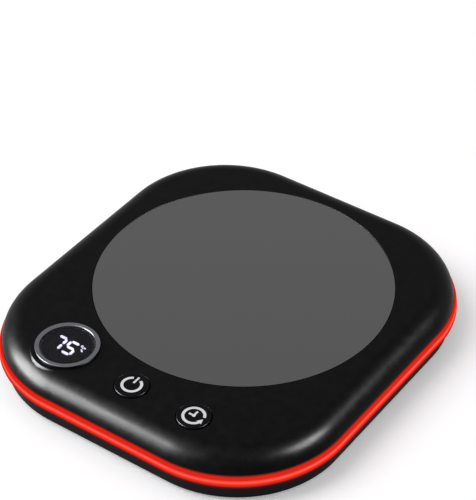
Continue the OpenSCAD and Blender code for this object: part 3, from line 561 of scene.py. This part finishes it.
# %% Plastics and rubber
moulded("cover_plastic", (7, 7, 9), 0.33, grain=0.2, depth=0.003, Specular_IOR_Level=0.028)
moulded("button_plastic", (7, 7, 9), 0.3, grain=0.15, depth=0.002, Specular_IOR_Level=0.028)
moulded("symbol_plastic", (212, 212, 216), 0.45, grain=0.2, depth=0.002)
moulded("foot_rubber", (28, 28, 30), 0.8, grain=0.12, depth=0.02, Specular_IOR_Level=0.3)

# %% [markdown]
# ### Glass, lens and metal
# The plate is black glass. It shows no colour of its own, only what is round it. The display's
# lens is smoked, so the figures below it show through while the inside stays hidden.

# %% Glass and metal
polished = Finish("plate_glass", (8, 8, 10), 0.03, IOR=1.78)
polished.vary_roughness(polished.noise(14, detail=4), 0.015)
polished.relief(polished.noise(40, detail=1), 0.002)
smoked = Finish("lens_acrylic", (44, 44, 48), 0.06, Alpha=0.35, Specular_IOR_Level=0.03)
smoked.vary_colour(smoked.noise(5), 0.1)
smoked.vary_roughness(smoked.noise(4), 0.02)
display_at = middle("display_bezel")
turned("bezel_metal", (98, 99, 103), 0.2, display_at)

# %% [markdown]
# ### What glows
# The band is a strip of translucent red plastic with lights behind it. Its middle is so bright
# that it turns pink, and towards both covers it falls off to a deep red. A ramp on the height
# gives that. The casing below is dull and a shade lighter than the cover. The red light that the
# band throws onto its upper edge is painted on by the same helper, as a glow that is gone after a
# few millimetres. The figures of the display glow evenly.

# %% Lights of the object


def glow_by_height(finish, low, high, stops):
    """Let a finish glow in colours that run from one height to another, in millimetres."""
    height = finish.add("ShaderNodeSeparateXYZ")
    finish.link(finish.place, height.inputs[0])
    span = finish.add("ShaderNodeMapRange", From_Min=low * MM, From_Max=high * MM)
    finish.link(height.outputs["Z"], span.inputs["Value"])
    shades = finish.ramp(span.outputs[0], [(place, srgb(*shade)) for place, shade in stops])
    finish.link(shades, finish.shader.inputs["Emission Color"])
    finish.shader.inputs["Emission Strength"].default_value = 1.0


band_finish = Finish("light_band", (60, 6, 4), 0.5, Specular_IOR_Level=0.0)
band_finish.vary_roughness(band_finish.noise(2), 0.05)
glow_by_height(band_finish, band_z, band_top, [
    (0.0, (100, 16, 11)), (0.14, (188, 44, 32)), (0.31, (238, 50, 36)), (0.44, (255, 98, 84)),
    (0.53, (252, 78, 64)), (0.65, (228, 32, 18)), (0.86, (218, 36, 22)), (1.0, (96, 13, 9))])

casing_finish = Finish("base_plastic", (27, 26, 29), 0.45, Specular_IOR_Level=0.006)
casing_finish.vary_colour(casing_finish.noise(6), 0.08)
casing_finish.relief(casing_finish.noise(0.2), 0.004)
casing_finish.vary_roughness(casing_finish.noise(3), 0.04)
# Painted light: the band's red light on the casing's upper edge is an emission that fades out over
# this many millimetres below the band
painted_glow_depth = 2.6
glow_by_height(casing_finish, band_z - painted_glow_depth, band_z, [
    (0.0, (0, 0, 0)), (0.3, (14, 2, 1)), (0.6, (44, 7, 4)), (0.82, (84, 13, 8)),
    (1.0, (112, 17, 11))])
Finish("digit_light", (40, 38, 50), 0.5, Emission_Color=srgb(232, 228, 255),
       Emission_Strength=2.2)
print("finishes outside:", ", ".join(finishes))

# %% [markdown]
# ## The upper cover
# One thin shell: a large rounded upper edge, a flat top, and inside it a ceiling at an even wall.
# The section is drawn once and swept round the base. It reaches far enough in that the pocket for
# the warming plate cuts its inner end away. A bevel after the booleans would pinch at the many
# small edges, so the cutting shapes themselves flare at the top and leave a rounded edge.

# %% Upper cover: swept shell
reach = 38
rim_step = 0.4
lip_inset = 1.5
rim_round = 0.12
inner_r = edge_r - wall
arc_at = (band_lean + edge_r, top_z - edge_r)
rim_start = degrees(asin((band_top - arc_at[1]) / edge_r))
seat_start = degrees(asin((seat_high - arc_at[1]) / inner_r))


def swept(name, section, finish):
    """Sweep a closed section of (inset, height) round the base."""
    points = [(-inset * MM, -height * MM, 0) for inset, height in section]
    mesh = bpy.data.meshes.new(name)
    mesh.from_pydata(points, [(k, (k + 1) % len(points)) for k in range(len(points))], [])
    outline = add_object("section", mesh)
    made = bake_tree(name, sweep, sweep_sockets, Section=outline, Material=finishes[finish])
    bpy.data.objects.remove(outline)
    shape = bmesh.new()
    shape.from_mesh(made.data)
    if shape.calc_volume(signed=True) < 0:
        bmesh.ops.reverse_faces(shape, faces=shape.faces)
    shape.to_mesh(made.data)
    shape.free()
    return made


outer_skin = arc_points(arc_at, edge_r, 180 - rim_start, 90, 24)
inner_skin = arc_points(arc_at, inner_r, 90, 180 - seat_start, 16)
rim_x = outer_skin[0][0]
lip_shift = rim_x - rim_step
upper_lip = lip_inset + lip_shift
cover_section = rounded(
    [(*outer_skin[0], rim_round)] + [(*p, 0) for p in outer_skin[1:]]
    + [(reach, top_z, 0), (reach, ceiling_z, 0)] + [(*p, 0) for p in inner_skin]
    + [(upper_lip, seat_high, 0), (upper_lip, band_top, rim_round)], steps=3)
top_cover = swept("upper_cover", cover_section, "cover_plastic")
print("upper cover as swept:", len(top_cover.data.polygons), "faces")

# %% [markdown]
# The level pad under the display reaches out over the rounded edge, and its slope catches the light
# as a thin bright crescent beside the ring. Below the top sit the ring that carries the plate and
# the posts that the screws bite into. Parts that are joined reach a little into each other, and
# parts that are cut reach a little past the cut.

# %% Upper cover: pad, plate ring and posts
pocket_r = plate_r + 0.2
ledge_r = plate_r - 5.2
ledge_top = box_mm("plate_gasket")[0].z
ledge_low = ledge_top - 2
past_cut = 1
weld = 0.5
bezel_low, bezel_high = box_mm("display_bezel")
display_r = (bezel_high.x - bezel_low.x) / 2
pad_r = display_r + 2.3
pad_slope = 0.95
pad_drop = 1.15
pad_round = 0.3
post_at = middle("foot_rear_right")
post_low = base_z + 4.8
post_r = 3.2


def at_corners(part, finish):
    """Four copies of a part, one above each foot."""
    return in_rows(part, finish, x=(2, 2 * post_at.x), y=(2, 2 * post_at.y))


pad = lathe("pad", rounded([(0, ceiling_z, 0), (pad_r, ceiling_z, 0), (pad_r, top_z - pad_drop, 0),
                            (pad_r - pad_slope, top_z, pad_round), (0, top_z, 0)], steps=6),
            display_at)
combine(top_cover, pad, "UNION")
ring_at = (ledge_r - past_cut, pocket_r + wall)
ring_top = ceiling_z + 2 * weld
plate_ring = lathe("ring", [(ring_at[0], ledge_low), (ring_at[1], ledge_low),
                            (ring_at[1], ring_top), (ring_at[0], ring_top)], plate_at)
combine(top_cover, plate_ring, "UNION")
post = drum("posts", post_r, post_low, ceiling_z + weld, steps=32)
combine(top_cover, at_corners(post, "cover_plastic"), "UNION")
print("upper cover with pad, ring and posts:", len(top_cover.data.polygons), "faces")

# %% Upper cover: pocket and holes


def flared(radius, low, high, flare, centre):
    """A round cutter whose mouth flares, so that the hole it cuts has a rounded edge."""
    lean = 10
    arc = arc_points((radius + flare, high - flare), flare, 180, 90 + lean, 5)
    mouth = (arc[-1][0] + 1, arc[-1][1] + tan(radians(lean)))
    section = [(0, low), (radius, low)] + arc + [mouth, (mouth[0], high + 1), (0, high + 1)]
    return lathe("cutter", section, centre)


hole_flare = 0.25
cap_r = 5.7
cap_air = 0.25
combine(top_cover, flared(pocket_r, ledge_top, top_z, hole_flare, plate_at), "DIFFERENCE")
opening = drum("cutter", ledge_r, ledge_low - past_cut, top_z + past_cut, plate_at)
combine(top_cover, opening, "DIFFERENCE")
for key in ("power_button", "timer_button"):
    cutter = flared(cap_r + cap_air, ceiling_z - past_cut, top_z, hole_flare, middle(key))
    combine(top_cover, cutter, "DIFFERENCE")
sleeve_r = 10.1
sleeve_air = 0.1
sleeve_cut_low = 15
opening = drum("cutter", sleeve_r + sleeve_air, sleeve_cut_low, top_z + past_cut, display_at)
combine(top_cover, opening, "DIFFERENCE")
thread_r = 1.1
thread_top = 14
thread = drum("holes", thread_r, post_low - past_cut, thread_top, steps=24)
combine(top_cover, at_corners(thread, "cover_plastic"), "DIFFERENCE")
smooth(top_cover)
dress(top_cover, "cover_plastic", replaces=["top_cover"])

# %% [markdown]
# ## The lower casing
# It leans in towards the table below the light band, so it stays in the shade. Underneath are the
# recesses for the four feet and a row of vents. The vents are one rounded slot, laid out in a row
# by the same tree as the posts.

# %% Lower casing: shell
base_slope = 2.0
bottom_round = 0.8
wall_lean = wall / cos(atan(base_slope / (band_z - base_z)))


def lean_in(height):
    """Inset of the casing's leaning face at a height."""
    return rim_step + base_slope * (band_z - height) / (band_z - base_z)


casing_section = rounded([
    (reach, base_z, 0), (lean_in(base_z), base_z, bottom_round), (rim_step, band_z, rim_round),
    (lip_inset, band_z, rim_round), (lip_inset, seat_low, 0),
    (lean_in(seat_low) + wall_lean, seat_low, 0), (lean_in(floor_z) + wall_lean, floor_z, 0.6),
    (reach, floor_z, 0)], steps=6)
bottom_cover = swept("lower_casing", casing_section, "base_plastic")


def block(name, low, high):
    """A plain block between two corners, for cutting and filling."""
    shape = bmesh.new()
    bmesh.ops.create_cube(shape, size=1)
    size = [b - a for a, b in zip(low, high)]
    centre = [(a + b) / 2 for a, b in zip(low, high)]
    bmesh.ops.scale(shape, vec=size, verts=shape.verts)
    bmesh.ops.translate(shape, vec=centre, verts=shape.verts)
    return from_bmesh(name, shape)


lap = 3
floor_x = width / 2 - reach + lap
floor_y = depth / 2 - reach + lap
combine(bottom_cover, block("floor", (-floor_x, -floor_y, base_z), (floor_x, floor_y, floor_z)),
        "UNION")
rib_low, rib_top = floor_z - 1, band_top + 0.3
rib_out, rib_in = 7, 8.2
rib = swept("rib", [(rib_out, rib_low), (rib_in, rib_low), (rib_in, rib_top), (rib_out, rib_top)],
            "base_plastic")
combine(bottom_cover, rib, "UNION")
seat_r = 4.5
seat = drum("seats", seat_r, floor_z - 1, post_low, steps=32)
combine(bottom_cover, at_corners(seat, "base_plastic"), "UNION")
print("lower casing:", len(bottom_cover.data.polygons), "faces")

# %% Lower casing: foot recesses, vents and the opening for the inlet
end_steps = 12
slot_edge = 0.3


def slot_shape(length, slot_w, levels):
    """A closed shape from rings with round ends, long in Y. Each level is (growth, height)."""
    shape = bmesh.new()
    half = (length - slot_w) / 2
    rings = []
    for grow, height in levels:
        radius = slot_w / 2 + grow
        ends = (arc_points((0, half), radius, 0, 180, end_steps)
                + arc_points((0, -half), radius, 180, 360, end_steps))
        rings.append([shape.verts.new((x, y, height)) for x, y in ends])
    for lower, upper in zip(rings, rings[1:]):
        for k in range(len(lower)):
            after = (k + 1) % len(lower)
            shape.faces.new([lower[k], lower[after], upper[after], upper[k]])
    shape.faces.new(rings[0])
    shape.faces.new(rings[-1])
    return shape


def slot_cutter(length, slot_w, low, high):
    """An upright cutter that flares at its lower mouth, so the slot gets a rounded edge."""
    flare = 0.6
    middle_of_edge = slot_edge * 0.3
    return slot_shape(length, slot_w, [
        (slot_edge + flare, low - flare), (slot_edge, low),
        (middle_of_edge, low + middle_of_edge), (0, low + slot_edge), (0, high)])


vent_count = 7
vent_step = 5
vent_l = 36
vent_w = 2
vent = slot_cutter(vent_l, vent_w, base_z, floor_z + past_cut)
bmesh.ops.translate(vent, vec=(0, plate_at.y, 0), verts=vent.verts)
vents = in_rows(from_bmesh("vents", vent), "base_plastic", x=(vent_count, vent_step))
combine(bottom_cover, vents, "DIFFERENCE")
foot_r = 7.0
foot_air = 0.15
foot_top = base_z + 0.5
recess = drum("recesses", foot_r + foot_air, 0, foot_top, steps=64)
combine(bottom_cover, at_corners(recess, "base_plastic"), "DIFFERENCE")
head_seat = base_z + 3
head_r = 2.5
shank_r = 1.2
shank_top = 7
screw_hole = lathe("screw_holes", [(0, 0), (head_r, 0), (head_r, head_seat), (shank_r, head_seat),
                                   (shank_r, shank_top), (0, shank_top)], steps=32)
combine(bottom_cover, at_corners(screw_hole, "base_plastic"), "DIFFERENCE")
inlet_low, inlet_high = box_mm("inlet_shell")
inlet_h = 3.26
inlet_w = 8.94
inlet_z = inlet_low.z + inlet_h / 2
inlet_face = inlet_high.y


def towards_back(shape, y, lean=0.0):
    """Lay an upright slot shape along X, with its lower end at y and the rest in front of it."""
    laid = Matrix(((0, 1, 0, 0), (-lean, 0, -1, y), (-1, 0, 0, inlet_z), (0, 0, 0, 1)))
    bmesh.ops.transform(shape, matrix=laid, verts=shape.verts)
    return shape


air = 0.3
opening_d = 3
opening = slot_cutter(inlet_w + 2 * air, inlet_h + 2 * air, 0, opening_d)
towards_back(opening, depth / 2 - lean_in(inlet_z), base_slope / (band_z - base_z))
combine(bottom_cover, from_bmesh("opening", opening), "DIFFERENCE")
board_low, board_high = box_mm("inlet_board")
above_floor = floor_z + 0.01
combine(bottom_cover, block("gap", (board_low.x - air, board_low.y, above_floor),
                            (board_high.x + air, board_high.y, band_z - air)), "DIFFERENCE")
smooth(bottom_cover)
dress(bottom_cover, "base_plastic", replaces=["bottom_cover"])

# %% [markdown]
# ## The light band
# The same sweep makes the band. Its face is an arc that starts upright at the widest outline and
# leans in until it meets the upper cover. Behind it are the two lips that the covers trap. Eleven
# points on the arc are enough, because smooth shading fills in the rest.

# %% Light band
band_t = 1.6
lip_t = 1.2
band_back = band_t + lip_t
band_h = band_top - band_z
face_r = (rim_x ** 2 + band_h ** 2) / (2 * rim_x)
face = arc_points((face_r, band_z), face_r, 180, 180 - degrees(asin(band_h / face_r)), 10)
band_section = face + [(band_t + lip_shift, band_top), (band_t + lip_shift, seat_high),
                       (band_back + lip_shift, seat_high), (band_back + lip_shift, band_top),
                       (band_back, band_z), (band_back, seat_low), (band_t, seat_low),
                       (band_t, band_z)]
band = swept("glowing_band", band_section, "light_band")
smooth(band)
dress(band, "light_band", replaces=["light_band"])

# %% [markdown]
# ## The warming plate
# A disc of black glass, level with the cover. Its upper edge is ground square, because the mouth
# of the pocket is rounded and the two would otherwise leave a groove for dirt. The lower edge, on
# which the glass is pressed against its gasket, carries the small radius instead.

# %% Glass plate
glass_edge = 0.3
glass = lathe("warming_plate", rounded([(0, plate_low.z, 0), (plate_r, plate_low.z, glass_edge),
                                        (plate_r, top_z, 0), (0, top_z, 0)], steps=4),
              plate_at, steps=192)
smooth(glass)
dress(glass, "plate_glass", replaces=["glass_plate"])

# %% [markdown]
# ## The display
# A turned metal ring with polished edges, a smoked lens set a little below its top, and the lit
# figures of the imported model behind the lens. A tiny undercut where the ring meets the cover
# leaves the dark line that every real gap has.

# %% Display ring and lens
lens_low, lens_high = box_mm("display_lens")
ring_w = 1.6
ring_in = display_r - ring_w
lens_shelf = 0.6
sleeve_in = ring_in - lens_shelf
undercut = 0.15
ring_edge = 0.25
ring_inner_edge = 0.45
ring_section = rounded([
    (sleeve_in, bezel_low.z, 0.1), (sleeve_r, bezel_low.z, 0.1), (sleeve_r, top_z, 0),
    (display_r - undercut, top_z, 0), (display_r - undercut, top_z + undercut, 0),
    (display_r, top_z + undercut, 0), (display_r, bezel_high.z, ring_edge),
    (ring_in, bezel_high.z, ring_inner_edge), (ring_in, lens_low.z, 0), (sleeve_in, lens_low.z, 0)],
    steps=8)
display_ring = lathe("display_ring", ring_section, display_at, steps=160)
smooth(display_ring)
dress(display_ring, "bezel_metal", replaces=["display_bezel"])

lens_r = (lens_high.x - lens_low.x) / 2
lens = lathe("display_window", rounded([(0, lens_low.z, 0), (lens_r, lens_low.z, 0.1),
                                        (lens_r, lens_high.z, 0.15), (0, lens_high.z, 0)]),
             display_at, steps=128)
smooth(lens)
dress(lens, "lens_acrylic", replaces=["display_lens"])

# %% [markdown]
# ## The buttons
# Each cap is turned with a rounded edge, and its symbol is inlaid: the symbol's own shape is cut
# out of the cap, and the pale symbol fills the recess. A printed or lit line looks a little finer
# than the groove it fills, so a helper moves the walls of the symbols and figures in. The cap
# rides on its key, so it goes down with it when the key is pressed.

# %% Button caps


def slimmer(name, node, amount):
    """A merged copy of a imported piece, with its upright walls moved in by amount millimetres."""
    shape = bmesh.new()
    shape.from_mesh(frame["nodes"][node].data)
    bmesh.ops.scale(shape, vec=(1 / MM,) * 3, verts=shape.verts)
    bmesh.ops.remove_doubles(shape, verts=shape.verts, dist=1e-3)
    shape.normal_update()
    for vert in shape.verts:
        walls = []
        for face in vert.link_faces:
            seen_before = any((face.normal - wall).length < 0.02 for wall in walls)
            if abs(face.normal.z) < 0.5 and not seen_before:
                walls.append(face.normal.copy())
        if len(walls) == 2:
            walls = [(walls[0] + walls[1]) / (1 + walls[0].dot(walls[1]))]
        if walls:
            vert.co -= walls[0] * amount
    return from_bmesh(name, shape)


def level_tops(piece):
    """Smooth shading in which every level face stays exactly flat."""
    piece.data.shade_smooth()
    piece.data.set_sharp_from_angle(angle=radians(crease_angle))
    shape = bmesh.new()
    shape.from_mesh(piece.data)
    for edge in shape.edges:
        level = [abs(face.normal.z) > 0.9999 for face in edge.link_faces]
        if any(level) and not all(level):
            edge.smooth = False
    shape.to_mesh(piece.data)
    shape.free()


line_trim = 0.07
figure_trim = 0.06
stem_r = 2.2
cap_edge = 0.4
flange_low, flange_top = ceiling_z - 1.4, ceiling_z - 0.2


def button_cap(name, node, symbol, body):
    """A turned cap with an inlaid symbol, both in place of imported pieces."""
    low, high = box_mm(node)
    at = middle(node)
    flange_r = (high.x - low.x) / 2
    section = rounded([
        (0, low.z, 0), (stem_r, low.z, 0), (stem_r, flange_low, 0), (flange_r, flange_low, 0.1),
        (flange_r, flange_top, 0.1), (cap_r, flange_top, 0), (cap_r, high.z, cap_edge),
        (0, high.z, 0)], steps=6)
    cap = lathe(name, section, at, steps=96)
    combine(cap, slimmer("recess", symbol, line_trim), "DIFFERENCE")
    level_tops(cap)
    dress(cap, "button_plastic", body, replaces=[node])
    inlay = slimmer(symbol.replace("symbol", "inlay"), symbol, line_trim)
    level_tops(inlay)
    dress(inlay, "symbol_plastic", body, replaces=[symbol])


button_cap("power_cap", "power_button", "power_symbol", "power_key")
button_cap("timer_cap", "timer_button", "timer_symbol", "timer_key")

# %% Lit figures behind the lens
figures = slimmer("lit_figures", "display_digits", figure_trim)
level_tops(figures)
dress(figures, "digit_light", replaces=["display_digits"])

# %% [markdown]
# ## Feet and power inlet
# The feet are soft rubber with two grip rings turned into their underside. The inlet is a drawn
# steel shell with a plastic tongue, and a row of gilded contacts on each side of the tongue, which
# the rows tree lays out again.

# %% Feet
groove_w = 0.9
groove_d = 0.25
groove_lean = 0.15
grip_edge = 0.05
foot_lean = 0.1
foot_edge = 0.35
foot_crease = 25
foot_section = [(0, 0, 0)]
for inner in (2.2, 4.6):
    outer = inner + groove_w
    foot_section += [(inner, 0, grip_edge), (inner + groove_lean, groove_d, 0),
                     (outer - groove_lean, groove_d, 0), (outer, 0, grip_edge)]
foot_section += [(foot_r - foot_lean, 0, foot_edge), (foot_r, foot_top, 0), (0, foot_top, 0)]
for foot in ("foot_front_left", "foot_front_right", "foot_rear_left", "foot_rear_right"):
    rubber = lathe(foot.replace("foot", "rubber_foot"), rounded(foot_section, steps=3),
                   middle(foot), steps=64)
    smooth(rubber, foot_crease)
    dress(rubber, "foot_rubber", replaces=[foot])

# %% [markdown]
# ### Metals and boards that are hidden inside
# Nothing inside shows while the warmer is closed, but a model that is opened or cut should still
# look right. Rolled sheet has streaks, felt is fibrous, and circuit boards show faint tracks below
# their green lacquer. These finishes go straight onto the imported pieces, whose shapes are kept.

# %% Finishes inside
felt = Finish("insulation", (226, 219, 204), 0.95, Sheen_Weight=0.3)
fibres = felt.noise(0.5, detail=8, stretch=(1, 3, 1))
felt.vary_colour(fibres, 0.12)
felt.relief(fibres, 0.15)

lacquer = Finish("board_laminate", (20, 92, 52), 0.35)
tracks = lacquer.add("ShaderNodeTexBrick", Scale=1 / (4 * MM), Mortar_Size=0.06,
                     Color1=(1, 1, 1, 1), Color2=(0.9, 0.9, 0.9, 1), Mortar=(0, 0, 0, 1))
lacquer.link(lacquer.place, tracks.inputs["Vector"])
lacquer.vary_colour(tracks.outputs["Color"], 0.3)
lacquer.vary_roughness(lacquer.noise(2), 0.05)
lacquer.relief(tracks.outputs["Color"], 0.02)

film = Finish("element_foil", (186, 116, 54), 0.3, Metallic=0.7)
windings = film.rings(plate_at, 3, 0.0)
film.vary_colour(windings, 0.35)
film.relief(windings, 0.05)

galvanised = Finish("bracket_steel", (176, 179, 184), 0.34, Metallic=1.0)
spangle = galvanised.add("ShaderNodeTexVoronoi", Scale=1 / (3 * MM))
galvanised.link(galvanised.place, spangle.inputs["Vector"])
galvanised.vary_colour(spangle.outputs["Color"], 0.12)
galvanised.vary_roughness(spangle.outputs["Color"], 0.1)

brushed("screw_steel", (190, 192, 196), 0.3)
brushed("spreader_aluminium", (214, 216, 220), 0.28)
brushed("inlet_steel", (196, 198, 202), 0.24, stretch=(1, 0.05, 1))
for name, shade, roughness, values in (
        ("gasket_silicone", (214, 214, 208), 0.5, {"Subsurface_Weight": 0.2}),
        ("sensor_epoxy", (30, 78, 50), 0.25, {"grain": 1.2, "depth": 0.05}),
        ("fuse_ceramic", (224, 218, 204), 0.22, {"grain": 1}),
        ("module_plastic", (10, 10, 12), 0.6, {"Specular_IOR_Level": 0.05}),
        ("switch_plastic", (36, 36, 42), 0.45, {}),
        ("plunger_plastic", (88, 88, 94), 0.4, {}),
        ("chip_epoxy", (24, 24, 27), 0.6, {"grain": 0.1, "depth": 0.02}),
        ("capacitor_sleeve", (52, 60, 78), 0.3, {"Coat_Weight": 0.4}),
        ("connector_nylon", (232, 228, 214), 0.45, {"Subsurface_Weight": 0.1}),
        ("strip_film", (236, 232, 218), 0.4, {"grain": 0.6}),
        ("led_lens", (246, 236, 170), 0.3, {"grain": 0.4}),
        ("inlet_plastic", (22, 22, 25), 0.4, {}),
        ("lead_insulation", (176, 42, 34), 0.38, {"grain": 0.5}),
):
    moulded(name, shade, roughness, **values)
for part in frame["record"]["subparts"]:
    frame["nodes"][part["node"]].material_slots[0].material = finishes[part["material_slot"]]

# %% Inlet shell and contacts
shell_t = 0.3
shell_l = inlet_high.y - inlet_low.y
lip = [(0, 0.15), (-0.05, 0.04), (-0.15, 0), (-0.25, 0.04), (-0.3, 0.15)]
shell = slot_shape(inlet_w, inlet_h, [(0, shell_l)] + lip + [(-shell_t, shell_l - shell_t)])
inlet = from_bmesh("inlet_mouth", towards_back(shell, inlet_face))
wing_from, wing_to = 4.28, 6.12
for side in (-1, 1):
    left_end, right_end = sorted((side * wing_from, side * wing_to))
    wing = block("wing", (left_end, board_high.y - 4, board_high.z),
                 (right_end, board_high.y - 2, board_high.z + shell_t))
    combine(inlet, wing, "UNION")
smooth(inlet)
dress(inlet, "inlet_steel", replaces=["inlet_shell"])

brushed("contact_gold", (226, 180, 84), 0.22, stretch=(1, 0.05, 1))
tongue_t = 0.7
contact_half_w = 0.13
contact_half_h = tongue_t / 2 + 0.04
contact_front, contact_rear = inlet_face - 5.75, inlet_face - 1.55
contact_count = 12
contact_step = 0.5
contact = block("inlet_contacts", (-contact_half_w, contact_front, inlet_z - contact_half_h),
                (contact_half_w, contact_rear, inlet_z + contact_half_h))
contacts = in_rows(contact, "contact_gold", x=(contact_count, contact_step))
dress(contacts, "inlet_steel", finish="contact_gold")

# %% [markdown]
# ## The studio
# A plain white floor, a white surround, and one large soft light behind the left shoulder, which
# throws a soft shadow to the right. The surround is white to the camera and in mirrors, and dimmer
# as a light, so the white comes from the background and not from too much light on the object.
#
# Satin black plastic shows little but its highlights, and on the same lamp metal would burn out.
# So three more lamps make highlights only, each on the pieces it is linked to. Two of them draw
# the long soft line on the front edge and the faint one on the right, and a weaker one serves the
# ring.

# %% World
world = bpy.data.worlds.new("studio")
bpy.context.scene.world = world
world.use_nodes = True
world_nodes, world_link = world.node_tree.nodes, world.node_tree.links.new
background = world_nodes["Background"]
background.inputs["Color"].default_value = (1, 1, 1, 1)


def seen_directly(nodes, link):
    """1 for rays from the camera, a mirror or a glass, 0 for light that falls on a surface."""
    path = nodes.new("ShaderNodeLightPath")
    total = path.outputs["Is Camera Ray"]
    for ray in ("Is Glossy Ray", "Is Transmission Ray"):
        either = nodes.new("ShaderNodeMath")
        either.operation = "MAXIMUM"
        link(total, either.inputs[0])
        link(path.outputs[ray], either.inputs[1])
        total = either.outputs[0]
    return total


sky_light = 0.56
strength = world_nodes.new("ShaderNodeMapRange")
strength.inputs["To Min"].default_value = sky_light
world_link(seen_directly(world_nodes, world_link), strength.inputs["Value"])
world_link(strength.outputs[0], background.inputs["Strength"])
print("world gives", sky_light, "as light and 1.0 as background")

# %% Floor
floor_half = 3000
sheet = bmesh.new()
bmesh.ops.create_grid(sheet, x_segments=8, y_segments=8, size=floor_half)
floor = from_bmesh("floor", sheet)
floor_finish = Finish("floor_paper", (240, 240, 242), 0.9, Specular_IOR_Level=0.0)
floor_finish.vary_colour(floor_finish.noise(60), 0.01)
seen = seen_directly(floor_finish.tree.nodes, floor_finish.link)
# Less lamp light falls on the paper further out, so it glows more there to stay white
from_base = floor_finish.add("ShaderNodeVectorMath")
from_base.operation = "LENGTH"
floor_finish.link(floor_finish.place, from_base.inputs[0])
backdrop = floor_finish.add("ShaderNodeMapRange", From_Min=0.25, From_Max=1.5, To_Min=0.25,
                            To_Max=0.6)
floor_finish.link(from_base.outputs["Value"], backdrop.inputs["Value"])
white = floor_finish.add("ShaderNodeMath")
white.operation = "MULTIPLY"
floor_finish.link(seen, white.inputs[0])
floor_finish.link(backdrop.outputs[0], white.inputs[1])
floor_finish.link(white.outputs[0], floor_finish.shader.inputs["Emission Strength"])
floor_finish.shader.inputs["Emission Color"].default_value = (1, 1, 1, 1)
floor.data.materials.append(finishes["floor_paper"])
floor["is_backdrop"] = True
print("floor is", 2 * floor_half / 1000, "m wide")

# %% Lamps
lamp_distance = 1200


def softbox(name, towards, size, glow):
    """An area light of (width, height) that stands off in one direction and faces the base."""
    data = bpy.data.lights.new(name, "AREA")
    data.shape = "RECTANGLE"
    data.size, data.size_y = size[0] * MM, size[1] * MM
    data.energy = glow * pi * data.size * data.size_y
    lamp = bpy.data.objects.new(name, data)
    stand = Vector(towards).normalized()
    lamp.location = stand * lamp_distance * MM
    lamp.rotation_mode = "QUATERNION"
    lamp.rotation_quaternion = stand.to_track_quat("Z", "Y")
    bpy.context.scene.collection.objects.link(lamp)
    return lamp


def gloss_lamp(name, towards, size, glow, pieces):
    """A softbox that only makes highlights, and only on some pieces."""
    lamp = softbox(name, towards, size, glow)
    lamp.visible_diffuse = False
    receivers = bpy.data.collections.new(name + "_pieces")
    for piece in pieces:
        receivers.objects.link(bpy.data.objects[piece])
    lamp.light_linking.receiver_collection = receivers
    print(name, "makes highlights on", len(pieces), "pieces")


softbox("key_lamp", (-0.47, -0.39, 0.79), (800, 800), 3.9)
left, right_side = (-0.721, -0.583, 0.375), (0.761, 0.204, 0.616)
satin = ("upper_cover", "lower_casing", "power_cap", "timer_cap")
gloss_lamp("satin_left", left, (880, 760), 250, satin)
gloss_lamp("satin_right", right_side, (560, 340), 250, satin)
gloss_lamp("metal_left", left, (880, 760), 20, ("display_ring",))

# %% [markdown]
# ## Sizes at the end
# The last lines print two boxes: that of the imported model, and that of the finished scene
# without its floor. The finished pieces have to stay inside the imported model's size.

# %% Sizes and the end
bpy.context.scene.view_settings.view_transform = "Standard"
seen_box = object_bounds()
for label, (low_corner, high_corner) in (("packed", cad_box), ("dressed", seen_box)):
    print(label, [round(v / MM, 2) for v in (*low_corner, *high_corner)])
